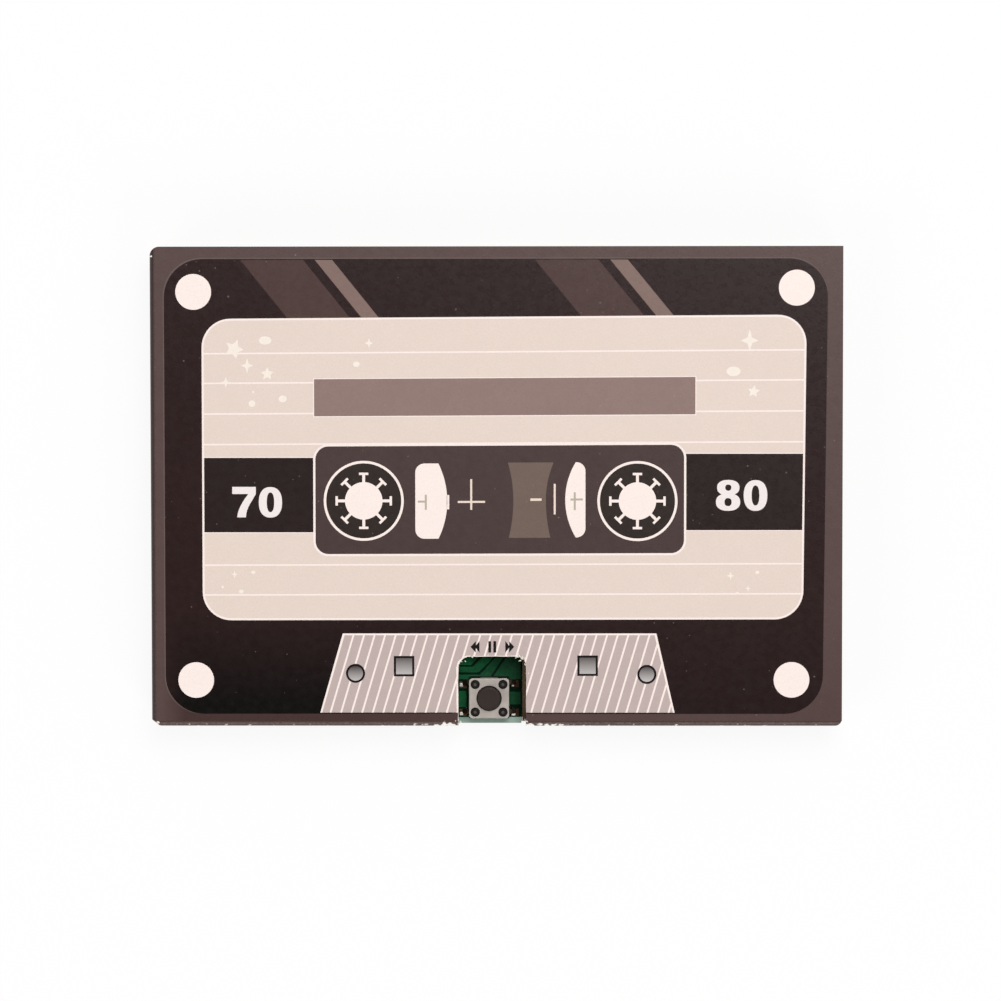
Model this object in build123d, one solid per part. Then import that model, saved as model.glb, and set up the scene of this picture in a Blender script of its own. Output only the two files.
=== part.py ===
from build123d import *
import os

# A recordable greeting card, lying closed on its back cover with its printed
# front up. One creased sheet of card stock runs from the back cover, up the
# spine, over the front and round the bottom edge to the inside of the front
# leaf, where it closes a pocket. The pocket holds the sound module, and a notch
# in the front and in the bottom fold leaves the play button free.
# X runs along the card's width, Y towards its top edge and Z towards its front.
# The origin is under the middle of the card, on the surface that it lies on.
# All lengths are in millimetres.

# The card
CARD_WIDTH = 103.0
CARD_HEIGHT = 71.5
SHEET = 0.4
FOLD_RADIUS = 0.8
HINGE_CORNER_CUT = 1.3
WORN_CORNER_CUT = 0.6
MESSAGE_SHEET = 0.15
MESSAGE_MARGIN = 4.0
LEAF_GAP = 0.25
SEAT_GAP = 0.05
SIDE_GAP = 0.2

# The notch in the front leaf, its place measured from the card's centre line
NOTCH_WIDTH = 10.1
NOTCH_DEPTH = 10.2
NOTCH_CENTRE = -0.64
NOTCH_LEFT_CUT = 1.8
NOTCH_RIGHT_CUT = 1.45
LINER_NOTCH_DEPTH = 1.6

# The pocket's boards
BASE_BOARD = 1.0
COMPONENT_ROOM = 4.0
BOARD_LEDGE = 1.5

# The circuit board
PCB_SIDE_MARGIN = 1.25
PCB_HEIGHT = 31.0
PCB = 1.0
PCB_EDGE_SHOW = 0.66
PCB_CLEARANCE = 0.15
SOLDER_HEIGHT = 0.7

# The play switch, a six millimetre push switch with four bent legs
SWITCH_WIDTH = 6.0
SWITCH_HEIGHT = 3.5
SWITCH_FROM_EDGE = 4.1
SWITCH_FROM_NOTCH = -0.46
SWITCH_PLATE = 0.3
SWITCH_PLATE_LAP = 1.6
SWITCH_TAB_WIDTH = 2.6
BUTTON_DIAMETER = 3.5
BUTTON_RADIAL_GAP = 0.1
BUTTON_PROUD = 0.8
BUTTON_FLANGE = 0.4
BUTTON_FLANGE_LAP = 0.35
POST_DIAMETER = 1.07
POST_HEAD_DIAMETER = 1.3
POST_HEAD = 0.12
POST_SPACING = 4.15
DOME = 0.1
DOME_RISE = 0.45
LEG_WIDTH = 0.7
LEG_THICKNESS = 0.3
LEG_PITCH = 4.4
LEG_ROWS = 6.5
LEG_KINK = 0.55
LEG_HOLE_GAP = 0.15

# The record switch, a low one under the circuit board
RECORD_WIDTH = 5.2
RECORD_BODY = 0.8
RECORD_PLATE = 0.15
RECORD_FROM_LEFT = 8.0
RECORD_FROM_BOTTOM = 8.5
RECORD_BUTTON_DIAMETER = 2.4
RECORD_FLANGE_LAP = 0.3
RECORD_FLANGE = 0.3
RECORD_BUTTON_SINK = 0.05
RECORD_HOLE_GAP = 0.5
RECORD_DOME_RISE = 0.2
RECORD_DOME = 0.06
LAMP_FROM_SWITCH = 7.0
LAMP_SIZE = (2.0, 1.25, 0.7)
LAMP_HOLE = 1.6

# The parts on the top of the circuit board
CHIP_DOME_DIAMETER = 9.0
CHIP_DOME_RISE = 1.3
CHIP_FROM_RIGHT = 17.5
CHIP_FROM_BOTTOM = 8.2
RESISTOR_SIZE = (2.0, 1.25, 0.5)
CERAMIC_SIZE = (2.0, 1.25, 0.85)
TANTALUM_SIZE = (3.5, 2.8, 1.9)
CHIP_PITCH = 2.4
CHIP_ROW_GAP = 2.3

# The battery: three button cells side by side
CELLS = 3
CELL_DIAMETER = 11.6
CELL_HEIGHT = 3.05
CELL_CAP_DIAMETER = 9.4
CELL_CAP_STEP = 0.3
CELL_GAP = 0.15
HOLDER_WALL = 0.8
HOLDER_FLOOR = 0.4
HOLDER_RIM = 1.6
HOLDER_MARGIN = 0.6
CONTACT = 0.12
CONTACT_WIDTH = 4.0
CONTACT_PIN = 0.8

# The microphone capsule
MIC_DIAMETER = 6.0
MIC_HEIGHT = 2.2
MIC_WALL = 0.25
MIC_PORT = 1.6
MIC_FELT = 0.3
MIC_BOARD = 0.4
MIC_HOLE = 2.0
MIC_FROM_PCB = 6.4
MIC_FROM_BOTTOM = 12.5
MIC_CLEARANCE = 0.2

# The speaker
SPEAKER_DIAMETER = 29.0
SPEAKER_FROM_RIGHT = 9.0
SPEAKER_FROM_TOP = 27.0
SPEAKER_CLEARANCE = 0.3
SPEAKER_RIM_WIDTH = 1.6
SPEAKER_METAL = 0.4
SPEAKER_BASKET_DEPTH = 2.6
GASKET = 0.3
BASKET_WALL = 1.2
YOKE_DIAMETER = 13.6
YOKE_DEPTH = 1.9
MAGNET_DIAMETER = 10.4
MAGNET_HEIGHT = 0.9
POLE_HEIGHT = 0.4
COIL_DIAMETER = 11.4
COIL_WALL = 0.3
COIL_HEIGHT = 2.0
CONE = 0.12
ROLL_RISE = 0.4
CONE_RISE = 0.9
DOME_SINK = 0.65
GRILLE_HOLE = 1.4
GRILLE_PITCH = 3.0
GRILLE_RINGS = 3
TERMINAL_SIZE = (2.4, 6.0, 0.5)

# The internal leads
LEAD_DIAMETER = 0.9
LEAD_SPACING = 2.2
LEAD_BEND = 2.0
LEAD_CHANNEL = 5.0
MIC_CHANNEL = 3.6
MIC_LEAD_LAND = 1.8
PAD_FROM_EDGE = 2.8
PAD_FROM_HOLDER = 0.7
JOINT_DIAMETER = 1.9
JOINT_HEIGHT = 0.6

# Heights above the surface, worked out from the stack of sheets
LINER_BOTTOM = SHEET + MESSAGE_SHEET + LEAF_GAP
LINER_TOP = LINER_BOTTOM + SHEET
PCB_BOTTOM = LINER_TOP + BASE_BOARD
PCB_TOP = PCB_BOTTOM + PCB
FRONT_BOTTOM = PCB_TOP + COMPONENT_ROOM
CARD_THICKNESS = FRONT_BOTTOM + SHEET

# Edges of the card and of the pocket inside it
LEFT = -CARD_WIDTH / 2
RIGHT = CARD_WIDTH / 2
BOTTOM = -CARD_HEIGHT / 2
TOP = CARD_HEIGHT / 2
FOLD_LEFT = LEFT + FOLD_RADIUS
FOLD_BOTTOM = BOTTOM + FOLD_RADIUS
POCKET_RIGHT = RIGHT - 2 * SIDE_GAP
POCKET_TOP = TOP - 2 * SIDE_GAP

NOTCH_LEFT = NOTCH_CENTRE - NOTCH_WIDTH / 2
NOTCH_RIGHT = NOTCH_CENTRE + NOTCH_WIDTH / 2
NOTCH_TOP = BOTTOM + NOTCH_DEPTH

HOLDER_LENGTH = CELLS * CELL_DIAMETER + (CELLS - 1) * CELL_GAP + 2 * (HOLDER_WALL + CELL_GAP)
HOLDER_DEPTH = CELL_DIAMETER + 2 * (HOLDER_WALL + CELL_GAP)

PCB_RIGHT = NOTCH_RIGHT - PCB_EDGE_SHOW
PCB_LEFT = PCB_RIGHT - HOLDER_LENGTH - 2 * PCB_SIDE_MARGIN
PCB_LOW = BOTTOM + SHEET + SEAT_GAP
PCB_HIGH = PCB_LOW + PCB_HEIGHT

SWITCH_X = NOTCH_CENTRE + SWITCH_FROM_NOTCH
SWITCH_Y = BOTTOM + SWITCH_FROM_EDGE
SWITCH_TOP = PCB_TOP + SWITCH_HEIGHT
PLATE_BOTTOM = SWITCH_TOP - SWITCH_PLATE
BUTTON_HOLE = BUTTON_DIAMETER + 2 * BUTTON_RADIAL_GAP
FLANGE_DIAMETER = BUTTON_DIAMETER + 2 * BUTTON_FLANGE_LAP
FLANGE_TOP = PLATE_BOTTOM - SEAT_GAP
FLANGE_BOTTOM = FLANGE_TOP - BUTTON_FLANGE
SWITCH_BORE = FLANGE_DIAMETER + 2 * BUTTON_RADIAL_GAP
DOME_TOP = FLANGE_BOTTOM - SEAT_GAP
DOME_RIM = DOME_TOP - DOME_RISE

RECORD_X = PCB_LEFT + RECORD_FROM_LEFT
RECORD_Y = PCB_LOW + RECORD_FROM_BOTTOM
RECORD_LOW = PCB_BOTTOM - RECORD_BODY
RECORD_PLATE_LOW = RECORD_LOW - RECORD_PLATE
RECORD_CEILING = PCB_BOTTOM - RECORD_PLATE
RECORD_FLANGE_DIAMETER = RECORD_BUTTON_DIAMETER + 2 * RECORD_FLANGE_LAP
RECORD_BORE = RECORD_FLANGE_DIAMETER + 2 * BUTTON_RADIAL_GAP
LAMP_X = RECORD_X + LAMP_FROM_SWITCH
CHIP_X = PCB_RIGHT - CHIP_FROM_RIGHT

HOLDER_X = (PCB_LEFT + PCB_RIGHT) / 2
HOLDER_Y = PCB_HIGH - HOLDER_MARGIN - HOLDER_DEPTH / 2
HOLDER_TOP = PCB_TOP + HOLDER_FLOOR
CELL_LOW = HOLDER_TOP + CONTACT

MIC_X = PCB_LEFT - MIC_FROM_PCB
MIC_Y = PCB_LOW + MIC_FROM_BOTTOM
MIC_LOW = LINER_TOP + MIC_FELT
MIC_TOP = MIC_LOW + MIC_HEIGHT

SPEAKER_X = RIGHT - SPEAKER_FROM_RIGHT - SPEAKER_DIAMETER / 2
SPEAKER_Y = TOP - SPEAKER_FROM_TOP - SPEAKER_DIAMETER / 2
SPEAKER_LOW = LINER_TOP + GASKET
BASKET_LOW = SPEAKER_LOW + CONE
BASKET_TOP = BASKET_LOW + SPEAKER_BASKET_DEPTH
YOKE_TOP = BASKET_TOP + YOKE_DEPTH
YOKE_BORE = YOKE_DIAMETER - 2 * SPEAKER_METAL
CONE_RIM_RADIUS = SPEAKER_DIAMETER / 2 - SPEAKER_RIM_WIDTH
TERMINAL_X = SPEAKER_X - YOKE_DIAMETER / 2 - SIDE_GAP - TERMINAL_SIZE[0] / 2
TERMINAL_TOP = BASKET_TOP + TERMINAL_SIZE[2]

PAD_X = PCB_RIGHT - PAD_FROM_EDGE
PAD_Y = HOLDER_Y - HOLDER_DEPTH / 2 - PAD_FROM_HOLDER - (JOINT_DIAMETER + LEAD_SPACING) / 2
TURN_X = SPEAKER_X - SPEAKER_DIAMETER / 2 - LEAD_CHANNEL / 2
LEAD_ON_PCB = PCB_TOP + LEAD_DIAMETER / 2
LEAD_ON_SPEAKER = TERMINAL_TOP + LEAD_DIAMETER / 2


def block(low, high):
    """A block between its lowest and its highest corner."""
    size = [b - a for a, b in zip(low, high)]
    middle = [(a + b) / 2 for a, b in zip(low, high)]
    return Pos(*middle) * Box(*size)


def disc(x, y, low, high, diameter):
    """An upright round bar between two heights."""
    return Pos(x, y, (low + high) / 2) * Cylinder(diameter / 2, high - low)


def ring(x, y, low, high, outer, inner):
    """An upright tube between two heights."""
    return disc(x, y, low, high, outer) - disc(x, y, low, high, inner)


def plate(points, low, high):
    """A flat sheet cut to an outline."""
    return extrude(Pos(0, 0, low) * Polygon(*points, align=None), amount=high - low)


def turned(x, y, profile):
    """A solid of revolution from a face drawn in radius and height."""
    return Pos(x, y, 0) * revolve(Plane.XZ * profile, Axis.Z)


def dish(lines, wall):
    """A face of even height that follows a line drawn in radius and height."""
    low = Curve() + lines
    high = Pos(0, wall) * low
    ends = [Line(low @ 0, high @ 0), Line(low @ 1, high @ 1)]
    return make_face(low.edges() + high.edges() + ends)


def channel(start, end, low, high, width):
    """A round-ended slot between two points."""
    run = Vector(*end) - Vector(*start)
    middle = (Vector(*end) + Vector(*start)) * 0.5
    turn = Vector(1, 0).get_signed_angle(run, Vector(0, 0, 1))
    slot = SlotCenterToCenter(run.length, width, rotation=turn)
    return extrude(Pos(middle.X, middle.Y, low) * slot, amount=high - low)


def lead(points):
    """An insulated lead along straight runs and tangent arcs."""
    path = FilletPolyline(*points, radius=LEAD_BEND)
    section = Plane(path @ 0, z_dir=path % 0) * Circle(LEAD_DIAMETER / 2)
    return sweep(section, path=path)


def save(name, part):
    """One file for each piece, or for a group of like pieces."""
    solids = [solid for piece in (part if isinstance(part, list) else [part]) for solid in piece.solids()]
    shape = solids[0] if len(solids) == 1 else Compound(children=solids)
    shape.label = name
    export_step(shape, f"parts/{name}.step")


# The folded sheet


def back_cover():
    outline = [
        (FOLD_LEFT, BOTTOM),
        (RIGHT - WORN_CORNER_CUT, BOTTOM),
        (RIGHT, BOTTOM + WORN_CORNER_CUT),
        (RIGHT, TOP),
        (FOLD_LEFT, TOP),
    ]
    return plate(outline, 0, SHEET)


def crease(middle_height, top_side):
    """A quarter turn of the sheet where the spine meets a leaf."""
    length = CARD_HEIGHT - 2 * HINGE_CORNER_CUT
    outer = Cylinder(FOLD_RADIUS, length, rotation=(90, 0, 0))
    inner = Cylinder(FOLD_RADIUS - SHEET, length, rotation=(90, 0, 0))
    low, high = (0, FOLD_RADIUS) if top_side else (-FOLD_RADIUS, 0)
    quarter = block((-FOLD_RADIUS, -length / 2, low), (0, length / 2, high))
    return Pos(FOLD_LEFT, 0, middle_height) * ((outer - inner) & quarter)


def spine_strip():
    half = CARD_HEIGHT / 2 - HINGE_CORNER_CUT
    return block((LEFT, -half, FOLD_RADIUS), (LEFT + SHEET, half, CARD_THICKNESS - FOLD_RADIUS))


def front_panel():
    top_left = HINGE_CORNER_CUT - FOLD_RADIUS
    outline = [
        (FOLD_LEFT, FOLD_BOTTOM),
        (NOTCH_LEFT, FOLD_BOTTOM),
        (NOTCH_LEFT, NOTCH_TOP - NOTCH_LEFT_CUT),
        (NOTCH_LEFT + NOTCH_LEFT_CUT, NOTCH_TOP),
        (NOTCH_RIGHT - NOTCH_RIGHT_CUT, NOTCH_TOP),
        (NOTCH_RIGHT, NOTCH_TOP - NOTCH_RIGHT_CUT),
        (NOTCH_RIGHT, FOLD_BOTTOM),
        (RIGHT, FOLD_BOTTOM),
        (RIGHT, TOP),
        (FOLD_LEFT + top_left, TOP),
        (FOLD_LEFT, TOP - top_left),
    ]
    return plate(outline, FRONT_BOTTOM, CARD_THICKNESS)


def bottom_fold(left, right):
    """The sheet's turn round the bottom edge, on one side of the notch."""
    outside = CARD_THICKNESS - LINER_BOTTOM
    profile = SlotOverall(outside, 2 * FOLD_RADIUS, rotation=90)
    profile -= SlotOverall(outside - 2 * SHEET, 2 * (FOLD_RADIUS - SHEET), rotation=90)
    profile &= Pos(-FOLD_RADIUS / 2, 0) * Rectangle(FOLD_RADIUS, outside)
    middle = (CARD_THICKNESS + LINER_BOTTOM) / 2
    placed = Plane((left, FOLD_BOTTOM, middle), x_dir=(0, 1, 0), z_dir=(1, 0, 0)) * profile
    return extrude(placed, amount=right - left)


def inner_liner():
    outline = [
        (FOLD_LEFT, FOLD_BOTTOM),
        (NOTCH_LEFT, FOLD_BOTTOM),
        (NOTCH_LEFT, BOTTOM + LINER_NOTCH_DEPTH),
        (NOTCH_RIGHT, BOTTOM + LINER_NOTCH_DEPTH),
        (NOTCH_RIGHT, FOLD_BOTTOM),
        (RIGHT - SIDE_GAP, FOLD_BOTTOM),
        (RIGHT - SIDE_GAP, TOP - SIDE_GAP),
        (FOLD_LEFT, TOP - SIDE_GAP),
    ]
    liner = plate(outline, LINER_BOTTOM, LINER_TOP)
    holes = [
        (RECORD_X, RECORD_Y, RECORD_BUTTON_DIAMETER + 2 * RECORD_HOLE_GAP),
        (LAMP_X, RECORD_Y, LAMP_HOLE),
        (MIC_X, MIC_Y, MIC_HOLE),
        (SPEAKER_X, SPEAKER_Y, GRILLE_HOLE),
    ]
    for round_number in range(1, GRILLE_RINGS + 1):
        for place in PolarLocations(GRILLE_PITCH * round_number, 6 * round_number):
            hole = place.position
            holes.append((SPEAKER_X + hole.X, SPEAKER_Y + hole.Y, GRILLE_HOLE))
    for x, y, diameter in holes:
        liner -= disc(x, y, LINER_BOTTOM, LINER_TOP, diameter)
    return liner


def message_sheet():
    low = (FOLD_LEFT + MESSAGE_MARGIN, BOTTOM + MESSAGE_MARGIN, SHEET)
    high = (RIGHT - MESSAGE_MARGIN, TOP - MESSAGE_MARGIN, SHEET + MESSAGE_SHEET)
    return block(low, high)


# The boards that fill the pocket


def module_room(low, high):
    """The openings for the speaker, the microphone and their leads."""
    speaker = disc(SPEAKER_X, SPEAKER_Y, low, high, SPEAKER_DIAMETER + 2 * SPEAKER_CLEARANCE)
    mic = disc(MIC_X, MIC_Y, low, high, MIC_DIAMETER + 2 * MIC_CLEARANCE)
    return speaker + mic


def base_board():
    board = block((FOLD_LEFT, FOLD_BOTTOM, LINER_TOP), (POCKET_RIGHT, POCKET_TOP, PCB_BOTTOM))
    window = block(
        (PCB_LEFT + BOARD_LEDGE, PCB_LOW + BOARD_LEDGE, LINER_TOP),
        (PCB_RIGHT - BOARD_LEDGE, PCB_HIGH - BOARD_LEDGE, PCB_BOTTOM),
    )
    reach = (LEG_ROWS + JOINT_DIAMETER) / 2 + SIDE_GAP
    joint_room = block(
        (SWITCH_X - reach, FOLD_BOTTOM, LINER_TOP),
        (SWITCH_X + reach, SWITCH_Y + reach, PCB_BOTTOM),
    )
    return board - window - joint_room - module_room(LINER_TOP, PCB_BOTTOM)


def spacer_frame():
    low, high = PCB_BOTTOM, FRONT_BOTTOM
    frame = block((FOLD_LEFT, FOLD_BOTTOM, low), (POCKET_RIGHT, POCKET_TOP, high))
    room = block(
        (PCB_LEFT - PCB_CLEARANCE, FOLD_BOTTOM, low),
        (PCB_RIGHT + PCB_CLEARANCE, PCB_HIGH + PCB_CLEARANCE, high),
    )
    turn = (TURN_X, PAD_Y)
    speaker_leads = channel((PAD_X, PAD_Y), turn, low, high, LEAD_CHANNEL)
    speaker_leads += channel(turn, (TERMINAL_X, SPEAKER_Y), low, high, LEAD_CHANNEL)
    mic_leads = channel((MIC_X, MIC_Y), (PCB_LEFT, MIC_Y), low, high, MIC_CHANNEL)
    return frame - room - module_room(low, high) - speaker_leads - mic_leads


# The circuit board and what is soldered to it


def leg_places():
    """The middle of each leg of the play switch where it meets the board."""
    return [
        (SWITCH_X + side * LEG_ROWS / 2, SWITCH_Y + end * LEG_PITCH / 2, side)
        for side in (-1, 1)
        for end in (-1, 1)
    ]


def circuit_board():
    board = block((PCB_LEFT, PCB_LOW, PCB_BOTTOM), (PCB_RIGHT, PCB_HIGH, PCB_TOP))
    for x, y, _ in leg_places():
        board -= disc(x, y, PCB_BOTTOM, PCB_TOP, LEG_WIDTH + 2 * LEG_HOLE_GAP)
    return board


def sound_chip():
    """The blob of black resin over the sound chip."""
    half = CHIP_DOME_DIAMETER / 2
    radius = (half**2 + CHIP_DOME_RISE**2) / (2 * CHIP_DOME_RISE)
    middle = PCB_TOP + CHIP_DOME_RISE - radius
    x, y = CHIP_X, PCB_LOW + CHIP_FROM_BOTTOM
    ball = Pos(x, y, middle) * Sphere(radius)
    return ball & disc(x, y, PCB_TOP, PCB_TOP + CHIP_DOME_RISE, 2 * CHIP_DOME_DIAMETER)


def chip_row(size, row, count):
    """A row of small square-ended parts beside the resin blob, rows counted away from it."""
    length, width, height = size
    nearest = CHIP_X - CHIP_DOME_DIAMETER / 2 - CHIP_ROW_GAP - length / 2
    x = nearest - row * (length + CHIP_PITCH / 2)
    places = [(x, PCB_LOW + CHIP_PITCH * (number + 1)) for number in range(count)]
    return [Pos(*place, PCB_TOP + height / 2) * Box(length, width, height) for place in places]


def tantalum_capacitor():
    length, width, height = TANTALUM_SIZE
    x = PAD_X - JOINT_DIAMETER - length
    body = Box(length, width, height)
    return Pos(x, PAD_Y, PCB_TOP + height / 2) * fillet(body.edges().filter_by(Axis.Z), width / 10)


def record_lamp():
    length, width, height = LAMP_SIZE
    return Pos(LAMP_X, RECORD_Y, PCB_BOTTOM - height / 2) * Box(width, length, height)


def lead_pads():
    """Where the solder stands in front of each lead's end on the board."""
    half = LEAD_SPACING / 2
    reach = JOINT_DIAMETER / 2
    pads = [(PAD_X - reach, PAD_Y + side * half) for side in (-1, 1)]
    pads += [(PCB_LEFT + MIC_LEAD_LAND + reach, MIC_Y + side * half) for side in (-1, 1)]
    return pads


def solder_joints():
    """The cones of solder round the switch legs, and those on the lead pads."""
    depth = SOLDER_HEIGHT * 0.7
    joints = []
    for x, y, _ in leg_places():
        cone = Cone(JOINT_DIAMETER / 2, LEG_WIDTH / 2 + LEG_HOLE_GAP, depth).rotate(Axis.X, 180)
        hole = disc(x, y, PCB_BOTTOM - depth, PCB_BOTTOM, LEG_WIDTH + LEG_HOLE_GAP)
        joints.append(Pos(x, y, PCB_BOTTOM - depth / 2) * cone - hole)
    for x, y in lead_pads():
        cone = Cone(JOINT_DIAMETER / 2, LEAD_DIAMETER / 2, JOINT_HEIGHT)
        joints.append(Pos(x, y, PCB_TOP + JOINT_HEIGHT / 2) * cone)
    return joints


# The play switch


def post_places():
    """The four moulded posts that hold the switch's plate."""
    half = POST_SPACING / 2
    return [(SWITCH_X + i * half, SWITCH_Y + j * half) for i in (-1, 1) for j in (-1, 1)]


def play_switch_body():
    half = SWITCH_WIDTH / 2
    low = (SWITCH_X - half, SWITCH_Y - half, PCB_TOP)
    body = block(low, (SWITCH_X + half, SWITCH_Y + half, PLATE_BOTTOM))
    body -= disc(SWITCH_X, SWITCH_Y, DOME_RIM, PLATE_BOTTOM, SWITCH_BORE)
    for side in (-1, 1):
        y = SWITCH_Y + side * half
        recess = Pos(SWITCH_X, y, PLATE_BOTTOM - SWITCH_PLATE_LAP / 2)
        body -= recess * Box(SWITCH_TAB_WIDTH, 2 * SWITCH_PLATE, SWITCH_PLATE_LAP)
    for x, y in post_places():
        body += disc(x, y, PLATE_BOTTOM, SWITCH_TOP + POST_HEAD, POST_DIAMETER)
    return body


def play_switch_plate():
    half = SWITCH_WIDTH / 2
    low = (SWITCH_X - half, SWITCH_Y - half, PLATE_BOTTOM)
    cover = block(low, (SWITCH_X + half, SWITCH_Y + half, SWITCH_TOP))
    for side in (-1, 1):
        y = SWITCH_Y + side * (half - SWITCH_PLATE / 2)
        tab = Box(SWITCH_TAB_WIDTH, SWITCH_PLATE, SWITCH_PLATE_LAP)
        cover += Pos(SWITCH_X, y, PLATE_BOTTOM - SWITCH_PLATE_LAP / 2) * tab
    cover -= disc(SWITCH_X, SWITCH_Y, PLATE_BOTTOM, SWITCH_TOP, BUTTON_HOLE)
    for x, y in post_places():
        cover -= disc(x, y, PLATE_BOTTOM, SWITCH_TOP, POST_HEAD_DIAMETER)
    return cover


def play_button():
    stem = disc(SWITCH_X, SWITCH_Y, FLANGE_TOP, SWITCH_TOP + BUTTON_PROUD, BUTTON_DIAMETER)
    flange = disc(SWITCH_X, SWITCH_Y, FLANGE_BOTTOM, FLANGE_TOP, FLANGE_DIAMETER)
    button = stem + flange
    rim = button.edges().filter_by(GeomType.CIRCLE).sort_by(Axis.Z)[-1]
    return chamfer(rim, BUTTON_RADIAL_GAP)


def dome_profile(radius, rise, wall):
    """A shallow sprung disc, from its middle to its rim."""
    arc = ThreePointArc((0, rise - wall), (radius * 0.55, (rise - wall) * 0.7), (radius, 0))
    return dish([arc], wall)


def play_switch_dome():
    radius = FLANGE_DIAMETER / 2
    return Pos(0, 0, DOME_RIM) * turned(SWITCH_X, SWITCH_Y, dome_profile(radius, DOME_RISE, DOME))


def play_switch_legs():
    """Four strips that leave the body's sides, kink outwards and pass through the board."""
    shoulder = PCB_TOP + SWITCH_HEIGHT * 0.25
    tip = PCB_BOTTOM - SOLDER_HEIGHT
    legs = []
    for x, y, side in leg_places():
        inner = SWITCH_X + side * SWITCH_WIDTH / 2 - x
        kink = side * LEG_KINK
        middle = (shoulder + PCB_TOP) / 2
        line = Polyline((inner, shoulder), (0, shoulder), (kink, middle), (0, PCB_TOP), (0, tip))
        strip = trace(line, LEG_THICKNESS)
        face = Plane((x, y + LEG_WIDTH / 2, 0), x_dir=(1, 0, 0), z_dir=(0, -1, 0)) * strip
        leg = extrude(face, amount=LEG_WIDTH)
        outside = block(
            (SWITCH_X - SWITCH_WIDTH / 2, SWITCH_Y - SWITCH_WIDTH, tip),
            (SWITCH_X + SWITCH_WIDTH / 2, SWITCH_Y + SWITCH_WIDTH, SWITCH_TOP),
        )
        legs.append(leg - outside)
    return legs


# The record switch


def record_switch_body():
    half = RECORD_WIDTH / 2
    body = block(
        (RECORD_X - half, RECORD_Y - half, RECORD_LOW),
        (RECORD_X + half, RECORD_Y + half, PCB_BOTTOM),
    )
    return body - disc(RECORD_X, RECORD_Y, RECORD_LOW, RECORD_CEILING, RECORD_BORE)


def record_switch_plate():
    half = RECORD_WIDTH / 2
    cover = block(
        (RECORD_X - half, RECORD_Y - half, RECORD_PLATE_LOW),
        (RECORD_X + half, RECORD_Y + half, RECORD_LOW),
    )
    hole = RECORD_BUTTON_DIAMETER + 2 * BUTTON_RADIAL_GAP
    return cover - disc(RECORD_X, RECORD_Y, RECORD_PLATE_LOW, RECORD_LOW, hole)


def record_button():
    face = LINER_BOTTOM + RECORD_BUTTON_SINK
    flange_low = RECORD_LOW + SEAT_GAP
    stem = disc(RECORD_X, RECORD_Y, face, flange_low, RECORD_BUTTON_DIAMETER)
    flange_top = flange_low + RECORD_FLANGE
    return stem + disc(RECORD_X, RECORD_Y, flange_low, flange_top, RECORD_FLANGE_DIAMETER)


def record_switch_dome():
    """The sprung disc over the record button, crown down."""
    radius = RECORD_FLANGE_DIAMETER / 2
    arc = ThreePointArc((0, 0), (radius * 0.55, RECORD_DOME_RISE * 0.3), (radius, RECORD_DOME_RISE))
    crown = RECORD_CEILING - RECORD_DOME_RISE - RECORD_DOME
    return Pos(0, 0, crown) * turned(RECORD_X, RECORD_Y, dish([arc], RECORD_DOME))


# The battery


def cell_x(number):
    """The middle of a cell, counted from the left."""
    return HOLDER_X + (number - (CELLS - 1) / 2) * (CELL_DIAMETER + CELL_GAP)


def battery_holder():
    half_length, half_depth = HOLDER_LENGTH / 2, HOLDER_DEPTH / 2
    holder = block(
        (HOLDER_X - half_length, HOLDER_Y - half_depth, PCB_TOP),
        (HOLDER_X + half_length, HOLDER_Y + half_depth, HOLDER_TOP + HOLDER_RIM),
    )
    for number in range(CELLS):
        pocket = CELL_DIAMETER + 2 * CELL_GAP
        holder -= disc(cell_x(number), HOLDER_Y, HOLDER_TOP, HOLDER_TOP + HOLDER_RIM, pocket)
    half = CONTACT_WIDTH / 2 + SEAT_GAP
    link_room = block(
        (cell_x(1), HOLDER_Y - half, HOLDER_TOP),
        (cell_x(2), HOLDER_Y + half, CELL_LOW + SEAT_GAP),
    )
    pin_hole = disc(cell_x(0), HOLDER_Y, PCB_TOP, HOLDER_TOP, CONTACT_PIN + 2 * SEAT_GAP)
    return holder - link_room - pin_hole


def button_cell(number):
    """A cell, every second one upside down so that the three are in series."""
    x = cell_x(number)
    top = CELL_LOW + CELL_HEIGHT
    if number % 2:
        can = disc(x, HOLDER_Y, CELL_LOW + CELL_CAP_STEP, top, CELL_DIAMETER)
        return can + disc(x, HOLDER_Y, CELL_LOW, CELL_LOW + CELL_CAP_STEP, CELL_CAP_DIAMETER)
    can = disc(x, HOLDER_Y, CELL_LOW, top - CELL_CAP_STEP, CELL_DIAMETER)
    return can + disc(x, HOLDER_Y, top - CELL_CAP_STEP, top, CELL_CAP_DIAMETER)


def contact_strip(start, end, low):
    """A flat metal strip between two places along the row of cells."""
    half = CONTACT_WIDTH / 2
    return block((start, HOLDER_Y - half, low), (end, HOLDER_Y + half, low + CONTACT))


def battery_contact_positive():
    """The strip under the first cell, with its pin through the holder to the board."""
    strip = contact_strip(cell_x(0) - CONTACT_WIDTH / 2, cell_x(0) + CONTACT_WIDTH / 2, HOLDER_TOP)
    return strip + disc(cell_x(0), HOLDER_Y, PCB_TOP, HOLDER_TOP, CONTACT_PIN)


def battery_contact_negative():
    """The strip over the last cell, bent down beside the holder to the board."""
    side = HOLDER_X + HOLDER_LENGTH / 2 + SEAT_GAP
    low = CELL_LOW + CELL_HEIGHT
    half = CONTACT_WIDTH / 2
    strip = contact_strip(cell_x(CELLS - 1), side + CONTACT, low)
    return strip + block((side, HOLDER_Y - half, PCB_TOP), (side + CONTACT, HOLDER_Y + half, low))


# The microphone


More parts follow.
